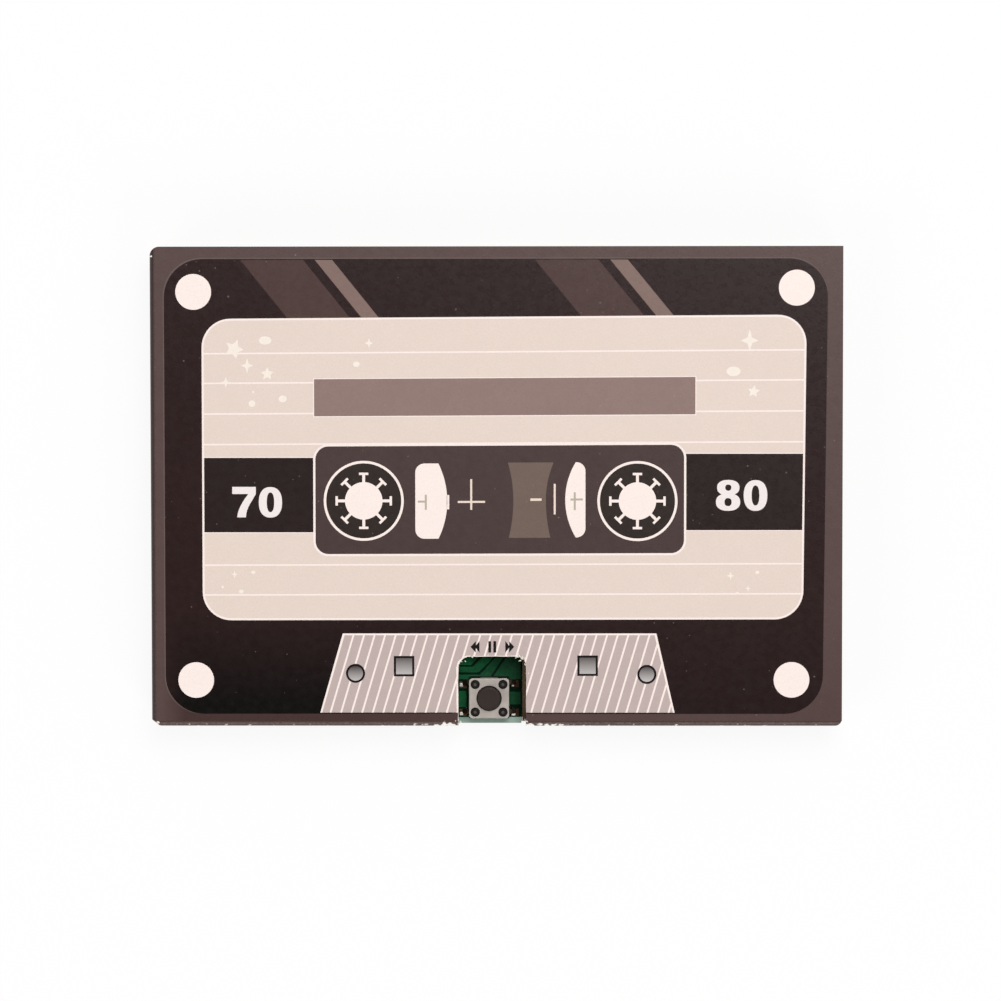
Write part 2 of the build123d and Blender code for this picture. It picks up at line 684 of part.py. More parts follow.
def microphone_can():
    can = disc(MIC_X, MIC_Y, MIC_LOW, MIC_TOP, MIC_DIAMETER)
    inside = MIC_DIAMETER - 2 * MIC_WALL
    can -= disc(MIC_X, MIC_Y, MIC_LOW + MIC_WALL, MIC_TOP, inside)
    return can - disc(MIC_X, MIC_Y, MIC_LOW, MIC_LOW + MIC_WALL, MIC_PORT)


def microphone_board():
    return disc(MIC_X, MIC_Y, MIC_TOP - MIC_BOARD, MIC_TOP, MIC_DIAMETER - 2 * MIC_WALL)


def microphone_felt():
    return disc(MIC_X, MIC_Y, LINER_TOP, MIC_LOW, MIC_DIAMETER - 2 * MIC_WALL)


# The speaker


def speaker_gasket():
    inner = SPEAKER_DIAMETER - 2 * SPEAKER_RIM_WIDTH
    return ring(SPEAKER_X, SPEAKER_Y, LINER_TOP, SPEAKER_LOW, SPEAKER_DIAMETER, inner)


def speaker_diaphragm():
    """The clear film: a dome, a cone, a half-round roll and a rim under the basket."""
    rim = CONE_RIM_RADIUS
    roll = 2 * ROLL_RISE
    coil = COIL_DIAMETER / 2
    crown = CONE_RISE - DOME_SINK
    lines = [
        ThreePointArc((0, crown), (coil / 2, crown + DOME_SINK / 4), (coil, CONE_RISE)),
        Line((coil, CONE_RISE), (rim - roll, 0)),
        ThreePointArc((rim - roll, 0), (rim - roll / 2, ROLL_RISE), (rim, 0)),
        Line((rim, 0), (SPEAKER_DIAMETER / 2, 0)),
    ]
    return Pos(0, 0, SPEAKER_LOW) * turned(SPEAKER_X, SPEAKER_Y, dish(lines, CONE))


def speaker_basket():
    """The pressed steel dish: a flat rim, a short wall, a sloping flank and a flat back."""
    outer = SPEAKER_DIAMETER / 2
    wall = outer - SPEAKER_RIM_WIDTH / 2
    shoulder = BASKET_LOW + BASKET_WALL
    back = YOKE_DIAMETER / 2 + TERMINAL_SIZE[0]
    profile = Polygon(
        (outer, BASKET_LOW),
        (outer, BASKET_LOW + SPEAKER_METAL),
        (wall, BASKET_LOW + SPEAKER_METAL),
        (wall, shoulder),
        (back, BASKET_TOP),
        (YOKE_BORE / 2, BASKET_TOP),
        (YOKE_BORE / 2, BASKET_TOP - SPEAKER_METAL),
        (back - SPEAKER_METAL / 2, BASKET_TOP - SPEAKER_METAL),
        (wall - SPEAKER_METAL, shoulder - SPEAKER_METAL / 2),
        (wall - SPEAKER_METAL, BASKET_LOW),
        align=None,
    )
    return turned(SPEAKER_X, SPEAKER_Y, profile)


def voice_coil():
    low = SPEAKER_LOW + CONE_RISE + CONE
    outer = COIL_DIAMETER + COIL_WALL
    inner = COIL_DIAMETER - COIL_WALL
    return ring(SPEAKER_X, SPEAKER_Y, low, low + COIL_HEIGHT, outer, inner)


def speaker_yoke():
    """The steel cup behind the basket that carries the magnet."""
    cup = disc(SPEAKER_X, SPEAKER_Y, BASKET_TOP, YOKE_TOP, YOKE_DIAMETER)
    return cup - disc(SPEAKER_X, SPEAKER_Y, BASKET_TOP, YOKE_TOP - SPEAKER_METAL, YOKE_BORE)


def speaker_magnet():
    top = YOKE_TOP - SPEAKER_METAL
    return disc(SPEAKER_X, SPEAKER_Y, top - MAGNET_HEIGHT, top, MAGNET_DIAMETER)


def speaker_pole_plate():
    top = YOKE_TOP - SPEAKER_METAL - MAGNET_HEIGHT
    return disc(SPEAKER_X, SPEAKER_Y, top - POLE_HEIGHT, top, MAGNET_DIAMETER)


def speaker_terminals():
    """The strip on the back of the basket that the leads are soldered to."""
    length, width, height = TERMINAL_SIZE
    return Pos(TERMINAL_X, SPEAKER_Y, BASKET_TOP + height / 2) * Box(length, width, height)


# The internal leads


def speaker_lead(side):
    """From the board's right edge, through the channel and up to the speaker's back."""
    turn = Vector(TURN_X, PAD_Y)
    end = Vector(TERMINAL_X, SPEAKER_Y)
    along = (end - turn).normalized()
    half = side * LEAD_SPACING / 2
    beside = Vector(-along.Y, along.X) * half
    shift = Vector(0, half)
    bend = turn + (beside + shift) * 0.5
    climb = turn + (end - turn) * 0.55 + beside
    land = end + shift - Vector(TERMINAL_SIZE[0], 0)
    return lead(
        [
            (PAD_X, PAD_Y + half, LEAD_ON_PCB),
            ((PAD_X + bend.X) / 2, PAD_Y + half, LEAD_ON_PCB),
            (bend.X, bend.Y, LEAD_ON_PCB + SIDE_GAP),
            (climb.X, climb.Y, (LEAD_ON_PCB + LEAD_ON_SPEAKER) / 2),
            (land.X, land.Y, LEAD_ON_SPEAKER),
            (end.X, end.Y + half, LEAD_ON_SPEAKER),
        ]
    )


def microphone_lead(side):
    """From the back of the microphone over the edge of the board to its pad."""
    y = MIC_Y + side * LEAD_SPACING / 2
    high = MIC_TOP + LEAD_DIAMETER / 2
    return lead(
        [
            (MIC_X + LEAD_DIAMETER, y, high),
            (MIC_X + MIC_DIAMETER / 2 + SIDE_GAP, y, high),
            (PCB_LEFT, y, LEAD_ON_PCB + SIDE_GAP),
            (PCB_LEFT + MIC_LEAD_LAND, y, LEAD_ON_PCB + SIDE_GAP),
        ]
    )


PIECES = {
    "back_cover": back_cover(),
    "message_sheet": message_sheet(),
    "back_crease": crease(FOLD_RADIUS, False),
    "spine_strip": spine_strip(),
    "front_crease": crease(CARD_THICKNESS - FOLD_RADIUS, True),
    "front_panel": front_panel(),
    "bottom_fold_left": bottom_fold(FOLD_LEFT, NOTCH_LEFT),
    "bottom_fold_right": bottom_fold(NOTCH_RIGHT, RIGHT),
    "inner_liner": inner_liner(),
    "base_board": base_board(),
    "spacer_frame": spacer_frame(),
    "circuit_board": circuit_board(),
    "sound_chip": sound_chip(),
    "chip_resistors": chip_row(RESISTOR_SIZE, 1, 5),
    "chip_capacitors": chip_row(CERAMIC_SIZE, 0, 4),
    "tantalum_capacitor": tantalum_capacitor(),
    "record_lamp": record_lamp(),
    "solder_joints": solder_joints(),
    "play_switch_body": play_switch_body(),
    "play_switch_plate": play_switch_plate(),
    "play_switch_dome": play_switch_dome(),
    "play_switch_legs": play_switch_legs(),
    "play_button": play_button(),
    "record_switch_body": record_switch_body(),
    "record_switch_plate": record_switch_plate(),
    "record_switch_dome": record_switch_dome(),
    "record_button": record_button(),
    "battery_holder": battery_holder(),
    "battery_contact_positive": battery_contact_positive(),
    "battery_contact_negative": battery_contact_negative(),
    "battery_link_bottom": contact_strip(cell_x(1), cell_x(2), HOLDER_TOP),
    "battery_link_top": contact_strip(cell_x(0), cell_x(1), CELL_LOW + CELL_HEIGHT),
    "microphone_can": microphone_can(),
    "microphone_board": microphone_board(),
    "microphone_felt": microphone_felt(),
    "speaker_gasket": speaker_gasket(),
    "speaker_diaphragm": speaker_diaphragm(),
    "speaker_basket": speaker_basket(),
    "voice_coil": voice_coil(),
    "speaker_yoke": speaker_yoke(),
    "speaker_magnet": speaker_magnet(),
    "speaker_pole_plate": speaker_pole_plate(),
    "speaker_terminals": speaker_terminals(),
    "speaker_lead_black": speaker_lead(-1),
    "speaker_lead_red": speaker_lead(1),
    "microphone_lead_black": microphone_lead(-1),
    "microphone_lead_red": microphone_lead(1),
}
for number in range(CELLS):
    PIECES[f"button_cell_{number + 1}"] = button_cell(number)

os.makedirs("parts", exist_ok=True)
for name, part in PIECES.items():
    save(name, part)

print("lead bends, radius", LEAD_BEND, "on leads of diameter", LEAD_DIAMETER)
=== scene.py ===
import math
import random

import bpy
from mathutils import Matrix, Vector


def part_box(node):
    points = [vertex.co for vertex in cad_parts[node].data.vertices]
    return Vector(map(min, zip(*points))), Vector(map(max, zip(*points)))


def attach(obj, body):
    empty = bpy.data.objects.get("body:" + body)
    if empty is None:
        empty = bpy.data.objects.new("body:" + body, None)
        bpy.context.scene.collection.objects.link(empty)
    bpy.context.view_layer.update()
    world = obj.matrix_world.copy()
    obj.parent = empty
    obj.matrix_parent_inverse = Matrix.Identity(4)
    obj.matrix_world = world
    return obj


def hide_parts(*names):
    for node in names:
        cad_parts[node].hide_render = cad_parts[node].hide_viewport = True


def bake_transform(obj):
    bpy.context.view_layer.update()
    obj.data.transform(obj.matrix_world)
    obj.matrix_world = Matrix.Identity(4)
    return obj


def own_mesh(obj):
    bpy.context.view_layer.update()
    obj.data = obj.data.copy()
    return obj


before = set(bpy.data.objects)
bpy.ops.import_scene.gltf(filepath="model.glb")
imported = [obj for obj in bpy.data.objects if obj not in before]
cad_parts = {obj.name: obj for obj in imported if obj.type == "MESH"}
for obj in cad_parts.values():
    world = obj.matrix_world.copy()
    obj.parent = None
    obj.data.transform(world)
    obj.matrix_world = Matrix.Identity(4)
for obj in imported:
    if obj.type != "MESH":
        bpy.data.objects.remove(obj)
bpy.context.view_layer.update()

# The table top and the light round it.
# A white sheet under the card, a large soft lamp high behind it that shines on the
# varnish of its upper half, two smaller ones that even the light out, a pale room.

MM = 0.001
TABLE_WIDTH = 4000
TABLE_DROP = 0.1
TABLE_WHITE = 0.93
BACKGROUND_SHARE = 0.88
CEILING_LIGHT, CEILING_FROM = 0.10, 0.85
WALL_LIGHT, WALL_TO = 0.93, 0.15
LAMPS = (
    ("lamp_high_back", (130, 360, 800), 500, 4.8),
    ("lamp_low_left", (-700, -500, 600), 500, 3.3),
    ("lamp_low_front", (450, -750, 500), 400, 2.4),
)


class Finish:
    """A material or a world, with short calls that add nodes to it and give their outputs."""

    def __init__(self, name, owners=None):
        self.owner = (bpy.data.materials if owners is None else owners).new(name)
        self.owner.use_nodes = True
        self.nodes = self.owner.node_tree.nodes
        self.links = self.owner.node_tree.links
        self.shader = self.nodes.get("Principled BSDF")

    def feed(self, socket, value):
        """Gives a socket a fixed value or another node's output."""
        if isinstance(value, bpy.types.NodeSocket):
            self.links.new(value, socket)
        elif value is not None:
            socket.default_value = value

    def add(self, kind, *inputs, operation=None):
        """Adds a node with its inputs in order, and gives its first output."""
        node = self.nodes.new(kind)
        if operation:
            node.operation = operation
        for socket, value in zip(node.inputs, inputs):
            self.feed(socket, value)
        return node.outputs[0] if node.outputs else None

    def axis(self, letter, kind="Object"):
        """One coordinate of the place on the object, in metres, or of another kind of place."""
        axes = self.nodes.new("ShaderNodeSeparateXYZ")
        self.feed(axes.inputs[0], self.nodes.new("ShaderNodeTexCoord").outputs[kind])
        return axes.outputs[letter]

    def grain(self, scale, detail=2.0, stretch=(1, 1, 1)):
        """Fine noise fixed to the object, its scale in grains a metre."""
        place = self.nodes.new("ShaderNodeTexCoord").outputs["Object"]
        place = self.add("ShaderNodeMapping", place, None, None, stretch)
        return self.add("ShaderNodeTexNoise", place, None, scale, detail)

    def ranged(self, value, low=0.0, high=1.0, start=0.25, end=0.75):
        """A value between a start and an end, spread between two limits."""
        return self.add("ShaderNodeMapRange", value, start, end, low, high)

    def times(self, first, second):
        """Two values multiplied."""
        return self.add("ShaderNodeMath", first, second, operation="MULTIPLY")

    def blended(self, share, first, second):
        """Two colours mixed by a share."""
        mix = self.nodes.new("ShaderNodeMix")
        mix.data_type = "RGBA"
        for name, value in (("Factor", share), ("A", first), ("B", second)):
            self.feed(mix.inputs[name], value)
        return mix.outputs["Result"]

    def cloudy(self, colour, dark, pale, scale, detail=2.0, stretch=(1, 1, 1), edges=(0.25, 0.75)):
        """A colour clouded between a darker and a paler shade of it."""
        share = self.ranged(self.grain(scale, detail, stretch), 0.0, 1.0, *edges)
        return self.blended(share, scaled(colour, dark), scaled(colour, pale))

    def surface(self, colour, rough, specular=0.5, metallic=0.0):
        """Sets the shader's colour, roughness, specular level and share of metal."""
        self.feed(self.shader.inputs["Base Color"], colour)
        self.feed(self.shader.inputs["Roughness"], rough)
        self.shader.inputs["Specular IOR Level"].default_value = specular
        self.shader.inputs["Metallic"].default_value = metallic

    def relief(self, depth, *heights):
        """Adds several noises into one fine bump, its depth in millimetres."""
        total = heights[0]
        for height in heights[1:]:
            total = self.add("ShaderNodeMath", total, height, operation="ADD")
        bump = self.nodes.new("ShaderNodeBump")
        bump.inputs["Strength"].default_value = 1.0
        bump.inputs["Distance"].default_value = depth * MM
        self.feed(bump.inputs["Height"], total)
        self.feed(self.shader.inputs["Normal"], bump.outputs["Normal"])


bpy.ops.object.select_all(action="DESELECT")
bpy.ops.mesh.primitive_plane_add(size=TABLE_WIDTH * MM, location=(0, 0, -TABLE_DROP * MM))
table_top = bpy.context.object
table_top.name = "table_top"

table_paper = Finish("table_paper")
table_paper.nodes.clear()
rays = table_paper.nodes.new("ShaderNodeLightPath").outputs
seen = table_paper.add("ShaderNodeMath", rays["Is Camera Ray"], rays["Is Glossy Ray"], operation="MAXIMUM")
seen = table_paper.add("ShaderNodeMath", seen, rays["Is Transmission Ray"], operation="MAXIMUM")
plain = table_paper.add("ShaderNodeBsdfDiffuse", (TABLE_WHITE, TABLE_WHITE, TABLE_WHITE, 1))
white = table_paper.add("ShaderNodeEmission", (1, 1, 1, 1))
share = table_paper.times(seen, BACKGROUND_SHARE)
mix = table_paper.add("ShaderNodeMixShader", share, plain, white)
table_paper.add("ShaderNodeOutputMaterial", mix)
table_top.data.materials.append(table_paper.owner)

room = Finish("room", bpy.data.worlds)
bpy.context.scene.world = room.owner
room.nodes.clear()
walls = room.ranged(room.axis("Z", "Generated"), WALL_LIGHT, CEILING_LIGHT, WALL_TO, CEILING_FROM)
room.add("ShaderNodeOutputWorld", room.add("ShaderNodeBackground", None, walls))

for name, place, size, power in LAMPS:
    lamp = bpy.data.lights.new(name, "AREA")
    lamp.shape = "SQUARE"
    lamp.size = size * MM
    lamp.energy = power
    holder = bpy.data.objects.new(name, lamp)
    holder.location = Vector(place) * MM
    holder.rotation_euler = (-holder.location).to_track_quat("-Z", "Y").to_euler()
    bpy.context.scene.collection.objects.link(holder)

# The camera, above the card's upper half and turned back to it by three degrees.

CAMERA_PLACE = (8.18, 28.94, 608.3)
CAMERA_TURN = (-2.95, 0.715, -0.063)
CAMERA_LENS = 145.4

bpy.context.scene.view_settings.view_transform = "Standard"
lens = bpy.data.cameras.new("camera")
lens.lens = CAMERA_LENS
lens.sensor_width = 36
lens.clip_start = 0.01
camera = bpy.data.objects.new("camera", lens)
camera.location = Vector(CAMERA_PLACE) * MM
camera.rotation_euler = [math.radians(turn) for turn in CAMERA_TURN]
bpy.context.scene.collection.objects.link(camera)
bpy.context.scene.camera = camera

# The front sheet: a stiff white card, 0.4 mm thick, cut by hand at the notch.
# Its face carries the print, so bare paper only shows where the knife or the
# fold broke the ink: a thin pale line round the notch.


def box_of(node):
    """A CAD node's lowest and highest corner, in millimetres as all lengths from here on."""
    return [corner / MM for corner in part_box(node)]


def ends_of(node, axis):
    """Where a CAD node begins and ends along one axis."""
    return [corner[axis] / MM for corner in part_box(node)]


SHEET_LEFT, SHEET_RIGHT = ends_of("front_panel", 0)
SHEET_BOTTOM, SHEET_TOP_EDGE = ends_of("front_panel", 1)
FRONT_LOW, FRONT_TOP = ends_of("front_panel", 2)
INK = 0.005
INK_LAYERS = 10
PAPER_TOP = FRONT_TOP - INK * INK_LAYERS
NOTCH_LEFT, NOTCH_RIGHT, NOTCH_TOP = -5.67, 4.44, -25.3
NOTCH_LEFT_ROUND, NOTCH_RIGHT_ROUND = 1.8, 1.5
BELOW = -60
CARD_CORNER = 1.57
CORNER_MIDDLE = (-49.95, 34.2)
KNIFE_SHAKE = 0.035
SHEET_SEED = 3
CHIP_AT_RIGHT = 0.2
CHIP_AT_TOP = 0.35
CUT_NEAR = 0.001
NEAR = 0.01


def start(add, middle, scale=(1, 1, 1), **settings):
    """Adds a simple shape and opens it for editing, stretched, with all of it selected."""
    bpy.ops.object.select_all(action="DESELECT")
    add(location=Vector(middle) * MM, **settings)
    bpy.context.object.scale = scale
    bpy.ops.object.transform_apply(location=True, rotation=True, scale=True)
    bpy.ops.object.mode_set(mode="EDIT")
    select_all()


def start_plane(left, right, low, high, height):
    """A flat rectangle, open for editing."""
    scale = ((right - left) * MM, (high - low) * MM, 1)
    start(bpy.ops.mesh.primitive_plane_add, ((left + right) / 2, (low + high) / 2, height), scale, size=1)


def start_disc(x, y, radius, height, sides):
    """A flat disc, open for editing."""
    middle = (x, y, height)
    start(bpy.ops.mesh.primitive_circle_add, middle, vertices=sides, radius=radius * MM, fill_type="NGON")


def select_all(kind=None):
    """Selects all of the piece being edited."""
    if kind:
        bpy.ops.mesh.select_mode(type=kind)
    bpy.ops.mesh.select_all(action="SELECT")


def lift(height):
    """Draws the selected faces up, with new walls behind them."""
    bpy.ops.mesh.extrude_region_move(TRANSFORM_OT_translate={"value": (0, 0, height * MM)})


def face_out():
    """Turns all faces of the closed piece being edited outwards."""
    select_all()
    bpy.ops.mesh.normals_make_consistent(inside=False)


def thicken(depth):
    """Gives the flat outline being edited its thickness, downwards."""
    select_all()
    lift(-depth)
    face_out()


def bevel(width, steps, kind="EDGES"):
    """Rounds the selected edges or corners."""
    bpy.ops.mesh.bevel(offset=width * MM, segments=steps, affect=kind)


def settle(name="part"):
    """Closes the piece being edited and names it."""
    bpy.ops.object.mode_set(mode="OBJECT")
    piece = bpy.context.object
    piece.name = name
    piece.data.name = name
    return piece


def join_as(name, pieces):
    """Several shapes become one piece."""
    bpy.ops.object.select_all(action="DESELECT")
    for piece in pieces:
        piece.select_set(True)
    bpy.context.view_layer.objects.active = pieces[0]
    if len(pieces) > 1:
        bpy.ops.object.join()
    return settle(name)


def install(piece, finishes, body, node=None):
    """Gives a piece its materials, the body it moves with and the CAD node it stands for."""
    for finish in finishes:
        piece.data.materials.append(finish.owner)
    if body:
        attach(piece, body)
    if node:
        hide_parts(node)
    return piece


def pick(test, kind="VERT"):
    """Selects the points, edges or faces of the piece being edited whose places pass a test."""
    bpy.ops.mesh.select_mode(type=kind)
    bpy.ops.mesh.select_all(action="DESELECT")
    bpy.ops.object.mode_set(mode="OBJECT")
    mesh = bpy.context.object.data
    if kind == "VERT":
        for corner in mesh.vertices:
            corner.select = test(corner.co / MM)
    elif kind == "EDGE":
        for edge in mesh.edges:
            edge.select = all(test(mesh.vertices[index].co / MM) for index in edge.vertices)
    else:
        for face in mesh.polygons:
            face.select = test(face.center / MM)
    bpy.ops.object.mode_set(mode="EDIT")


def move_points(move):
    """Lets a function move each point of the piece being edited."""
    bpy.ops.object.mode_set(mode="OBJECT")
    for corner in bpy.context.object.data.vertices:
        move(corner)
    bpy.ops.object.mode_set(mode="EDIT")


def cut(place, outward, clear=True):
    """Cuts the shape being edited along a plane and, unless clear is false, clears away what lies
    beyond it and leaves the cut open."""
    select_all()
    place, outward = Vector(place).to_3d() * MM, Vector(outward).to_3d()
    bpy.ops.mesh.bisect(plane_co=place, plane_no=outward, clear_outer=clear, threshold=CUT_NEAR * MM)


def quarter(x, y, radius, first, steps):
    """Points along a quarter circle, counter-clockwise from an angle in degrees."""
    turns = [math.radians(first + 90 * step / steps) for step in range(steps + 1)]
    return [(x + radius * math.cos(turn), y + radius * math.sin(turn)) for turn in turns]


def round_outline(gap, right_gap=None):
    """The notch as a convex outline with round upper corners, widened by a gap, counter-clockwise.
    The knife chipped the print most on its left."""
    if right_gap is None:
        right_gap = gap * CHIP_AT_RIGHT
    left, right, top = NOTCH_LEFT - gap, NOTCH_RIGHT + right_gap, NOTCH_TOP + gap * CHIP_AT_TOP
    outline = [(left, BELOW), (right, BELOW)]
    outline += quarter(right - NOTCH_RIGHT_ROUND, top - NOTCH_RIGHT_ROUND, NOTCH_RIGHT_ROUND, 0, 6)
    outline += quarter(left + NOTCH_LEFT_ROUND, top - NOTCH_LEFT_ROUND, NOTCH_LEFT_ROUND, 90, 6)
    return outline


def sides_of(outline):
    """Each side of an outline: a point on it and the direction that points out of it."""
    for here, there in zip(outline, outline[1:] + outline[:1]):
        run = Vector(there) - Vector(here)
        if run.length > 1e-6:
            yield Vector(here), Vector((run.y, -run.x)).normalized()


def punch(outline):
    """Cuts a convex hole or notch through the flat piece being edited."""
    sides = list(sides_of(outline))
    for point, outward in sides:
        cut(point, outward, clear=False)
    pick(lambda place: all((place.xy - point) @ outward < 1e-4 for point, outward in sides), "FACE")
    bpy.ops.mesh.delete(type="FACE")
    select_all("VERT")
    bpy.ops.mesh.dissolve_limited(angle_limit=math.radians(1))


def roughen_notch(gap, shake, seed, right_gap=None):
    """Divides the outline round the notch and shifts its points a little, as a knife does."""
    sides = list(sides_of(round_outline(gap, right_gap)))
    shaker = random.Random(seed)

    def on_notch(place):
        return abs(max((place.xy - point) @ outward for point, outward in sides)) < 2 * NEAR

    def shift(corner):
        if corner.select:
            corner.co.x += shaker.uniform(-shake, shake) * MM
            corner.co.y += shaker.uniform(-shake, shake) * MM

    pick(on_notch, "EDGE")
    bpy.ops.mesh.subdivide(number_cuts=3)
    pick(lambda place: on_notch(place) and place.y > SHEET_BOTTOM + 0.1)
    move_points(shift)


def tone(red, green, blue):
    """A colour as a screen shows it, from 0 to 255, made linear."""
    parts = [value / 255 for value in (red, green, blue)]
    return (*((p / 12.92 if p <= 0.04045 else ((p + 0.055) / 1.055) ** 2.4) for p in parts), 1)


def scaled(colour, factor):
    """A colour made lighter or darker."""
    return (*(min(1.0, part * factor) for part in colour[:3]), 1)


def paper(name, colour, rough=0.85):
    """Bare card or paper: matt, with short fibres."""
    finish = Finish(name)
    fibres = (2600, 5, (1, 0.35, 1))
    shade = finish.cloudy(colour, 0.955, 1.03, 260)
    fibre = finish.ranged(finish.grain(*fibres), 0.0, 1.0, 0.35, 0.65)
    finish.surface(finish.blended(fibre, scaled(colour, 0.93), shade), rough, 0.25)
    finish.relief(0.03, finish.grain(*fibres), finish.grain(700, 3))
    return finish


PAPER_WHITE = tone(244, 238, 228)
card_core = paper("card_core", PAPER_WHITE)


def corner_height(x):
    """Where the card's rounded upper left corner ends, above a place on its left edge."""
    return CORNER_MIDDLE[1] + math.sqrt(max(0, CARD_CORNER**2 - (x - CORNER_MIDDLE[0]) ** 2))


def start_sheet(height, gap, shake, seed):
    """The whole front as a flat sheet with its round upper left corner and its notch."""

    def round_off(corner):
        if corner.co.y > 0 and corner.co.x / MM < CORNER_MIDDLE[0] - NEAR:
            corner.co.y = min(corner_height(corner.co.x / MM), SHEET_TOP_EDGE) * MM

    start_plane(SHEET_LEFT, SHEET_RIGHT, SHEET_BOTTOM, SHEET_TOP_EDGE, height)
    pick(lambda place: place.x < SHEET_LEFT + 0.1 and place.y > 0)
    bevel(CORNER_MIDDLE[0] - SHEET_LEFT, 5, "VERTICES")
    move_points(round_off)
    punch(round_outline(gap))
    roughen_notch(gap, shake, seed)


start_sheet(PAPER_TOP, 0, KNIFE_SHAKE, SHEET_SEED)
thicken(PAPER_TOP - FRONT_LOW)
install(settle("front_sheet"), [card_core], "front_leaf", "front_panel")

# The brown border: the first ink on the front sheet, printed to its edges.
# It is satin varnished, a little blotchy, and set back from the notch, where
# the knife chipped it.

INK_CHIP = 0.08
INK_SHAKE = 0.07
BORDER_SEED = 5
INK_GLOSS = 0.3
BORDER_BROWN = tone(90, 72, 69)
BORDER_PAINTED_SHADE = tone(67, 48, 46)
SPECK_PALE = tone(196, 178, 168)
PRINT_SHRINK = 0.997
PRINT_SHIFT = (0.08, 0.04)
PRINT_LEAN = 0.0063
LEAN_FOOT, LEAN_SPAN = 34, 60
NARROWING = 0.00021


def layer(number):
    """The height of the top of an ink layer, counted from the paper."""
    return PAPER_TOP + INK * number


def dots_on(finish, colour, dark, pale):
    """The print's fine dots: a dark shade of the colour among a paler one."""
    dots = finish.ranged(finish.grain(3800, 2), 0.0, 1.0, 0.3, 0.7)
    return finish.blended(dots, scaled(colour, dark), pale)


def varnish(finish, colour, rough):
    """Clear varnish over the ink, with the card's fibres as relief."""
    finish.surface(colour, rough, INK_GLOSS)
    finish.relief(0.008, finish.grain(1500, 4), finish.grain(4200, 2))
    return finish


def ink(name, colour, blotches=0.06, rough=0.27, painted_shade_colour=None):
    """Printed colour under satin varnish: faint blotches, a fine dot grain and rare specks where
    dust kept the ink off. Given a painted shade colour, it darkens towards the card's lower left,
    short of its left edge: painted shade."""
    finish = Finish(name)
    dotted = dots_on(finish, colour, 0.94, finish.cloudy(colour, 1 - blotches, 1 + blotches, 330, 3))
    if painted_shade_colour:
        # Painted shade: the darker colour's share grows towards the card's foot and left, and falls away at
        # its left edge.
        foot = finish.ranged(finish.axis("Y"), 0.0, 0.95, -18 * MM, -32 * MM)
        side = finish.ranged(finish.axis("X"), 1.0, 0.28, -22 * MM, 8 * MM)
        outer = finish.ranged(finish.axis("X"), 0.1, 1.0, -50 * MM, -46.5 * MM)
        dotted = finish.blended(finish.times(finish.times(foot, side), outer), dotted, painted_shade_colour)
    specks = finish.ranged(finish.grain(2100, 0), 0.0, 0.22, 0.84, 0.87)
    gloss = finish.ranged(finish.grain(900, 4), rough - 0.03, rough + 0.05)
    return varnish(finish, finish.blended(specks, dotted, SPECK_PALE), gloss)


def print_on_front(name, pieces, finish, fitted=True, lean=PRINT_LEAN, still=None):
    """Printed areas become one piece on the front leaf. The print came out a shade small and to the
    right, and leans a little towards its top; areas at the notch are drawn where they are. The card
    was cut a little askew, so the right half of some areas narrows towards the foot and widens above
    a height that stays still."""
    piece = join_as(name, pieces)
    for corner in piece.data.vertices:
        if still is not None:
            x, y = corner.co.x / MM, corner.co.y / MM
            corner.co.x += NARROWING * max(0, x) * (y - still) * MM
        if fitted:
            x, y = corner.co.x, corner.co.y
            rise = lean * x * (y / MM + LEAN_FOOT) / LEAN_SPAN
            corner.co.x = x * PRINT_SHRINK + PRINT_SHIFT[0] * MM
            corner.co.y = (y + rise) * PRINT_SHRINK + PRINT_SHIFT[1] * MM
    install(piece, [finish], "front_leaf")


start_sheet(layer(1), INK_CHIP, INK_SHAKE, BORDER_SEED)
thicken(INK)
# The border darkens towards the card's lower left: painted shade.
border_brown = ink("border_brown", BORDER_BROWN, painted_shade_colour=BORDER_PAINTED_SHADE)
print_on_front("front_border", [settle()], border_brown, fitted=False)

# The dark field inside the border, with round corners and, up and left of it, a
# fine pale outline where the two inks don't quite meet.

FIELD_LEFT, FIELD_RIGHT = -49.52, 49.02
FIELD_LOW, FIELD_HIGH = -33.88, 34.08
FIELD_CORNER = 5.7
FIELD_LINE = 0.17
FIELD_NOTCH_GAP = 0.9
FIELD_STILL = 7.7
FIELD_BLACK = tone(41, 24, 23)
FIELD_PAINTED_SHADE = tone(6, 3, 3)
FIELD_LINE_BROWN = tone(104, 88, 84)
FILM_SHAKE = 0.05
FILM_DEPTH = INK * 1.5


def film(notch_gap=None, seed=0, right_gap=None):
    """Cuts the notch out of the printed area being edited, if it reaches it, and gives it its thickness."""
    if notch_gap is not None:
        punch(round_outline(notch_gap, right_gap))
        roughen_notch(notch_gap, FILM_SHAKE, seed, right_gap)
    thicken(FILM_DEPTH)
    return settle()


def film_box(left, right, low, high, number, corner=0, notch_gap=None):
    """A printed rectangle on an ink layer, its corners round or square."""
    start_plane(left, right, low, high, layer(number))
    if corner:
        bevel(corner, 12, "VERTICES")
    return film(notch_gap)


field = film_box(FIELD_LEFT, FIELD_RIGHT, FIELD_LOW, FIELD_HIGH, 2, FIELD_CORNER, FIELD_NOTCH_GAP)
print_on_front("field_line", [field], ink("line_brown", FIELD_LINE_BROWN), fitted=False, still=FIELD_STILL)
sides = (FIELD_LEFT + FIELD_LINE, FIELD_RIGHT, FIELD_LOW, FIELD_HIGH - FIELD_LINE)
# The field darkens towards the card's lower left: painted shade.
field_black = ink("field_black", FIELD_BLACK, 0.12, painted_shade_colour=FIELD_PAINTED_SHADE)
field = film_box(*sides, 3, FIELD_CORNER, FIELD_NOTCH_GAP)
print_on_front("field", [field], field_black, fitted=False, still=FIELD_STILL)

# The slanting light bars above the label, two broad and two narrow.
# They lean to the right as they go down and end under the label's edge.

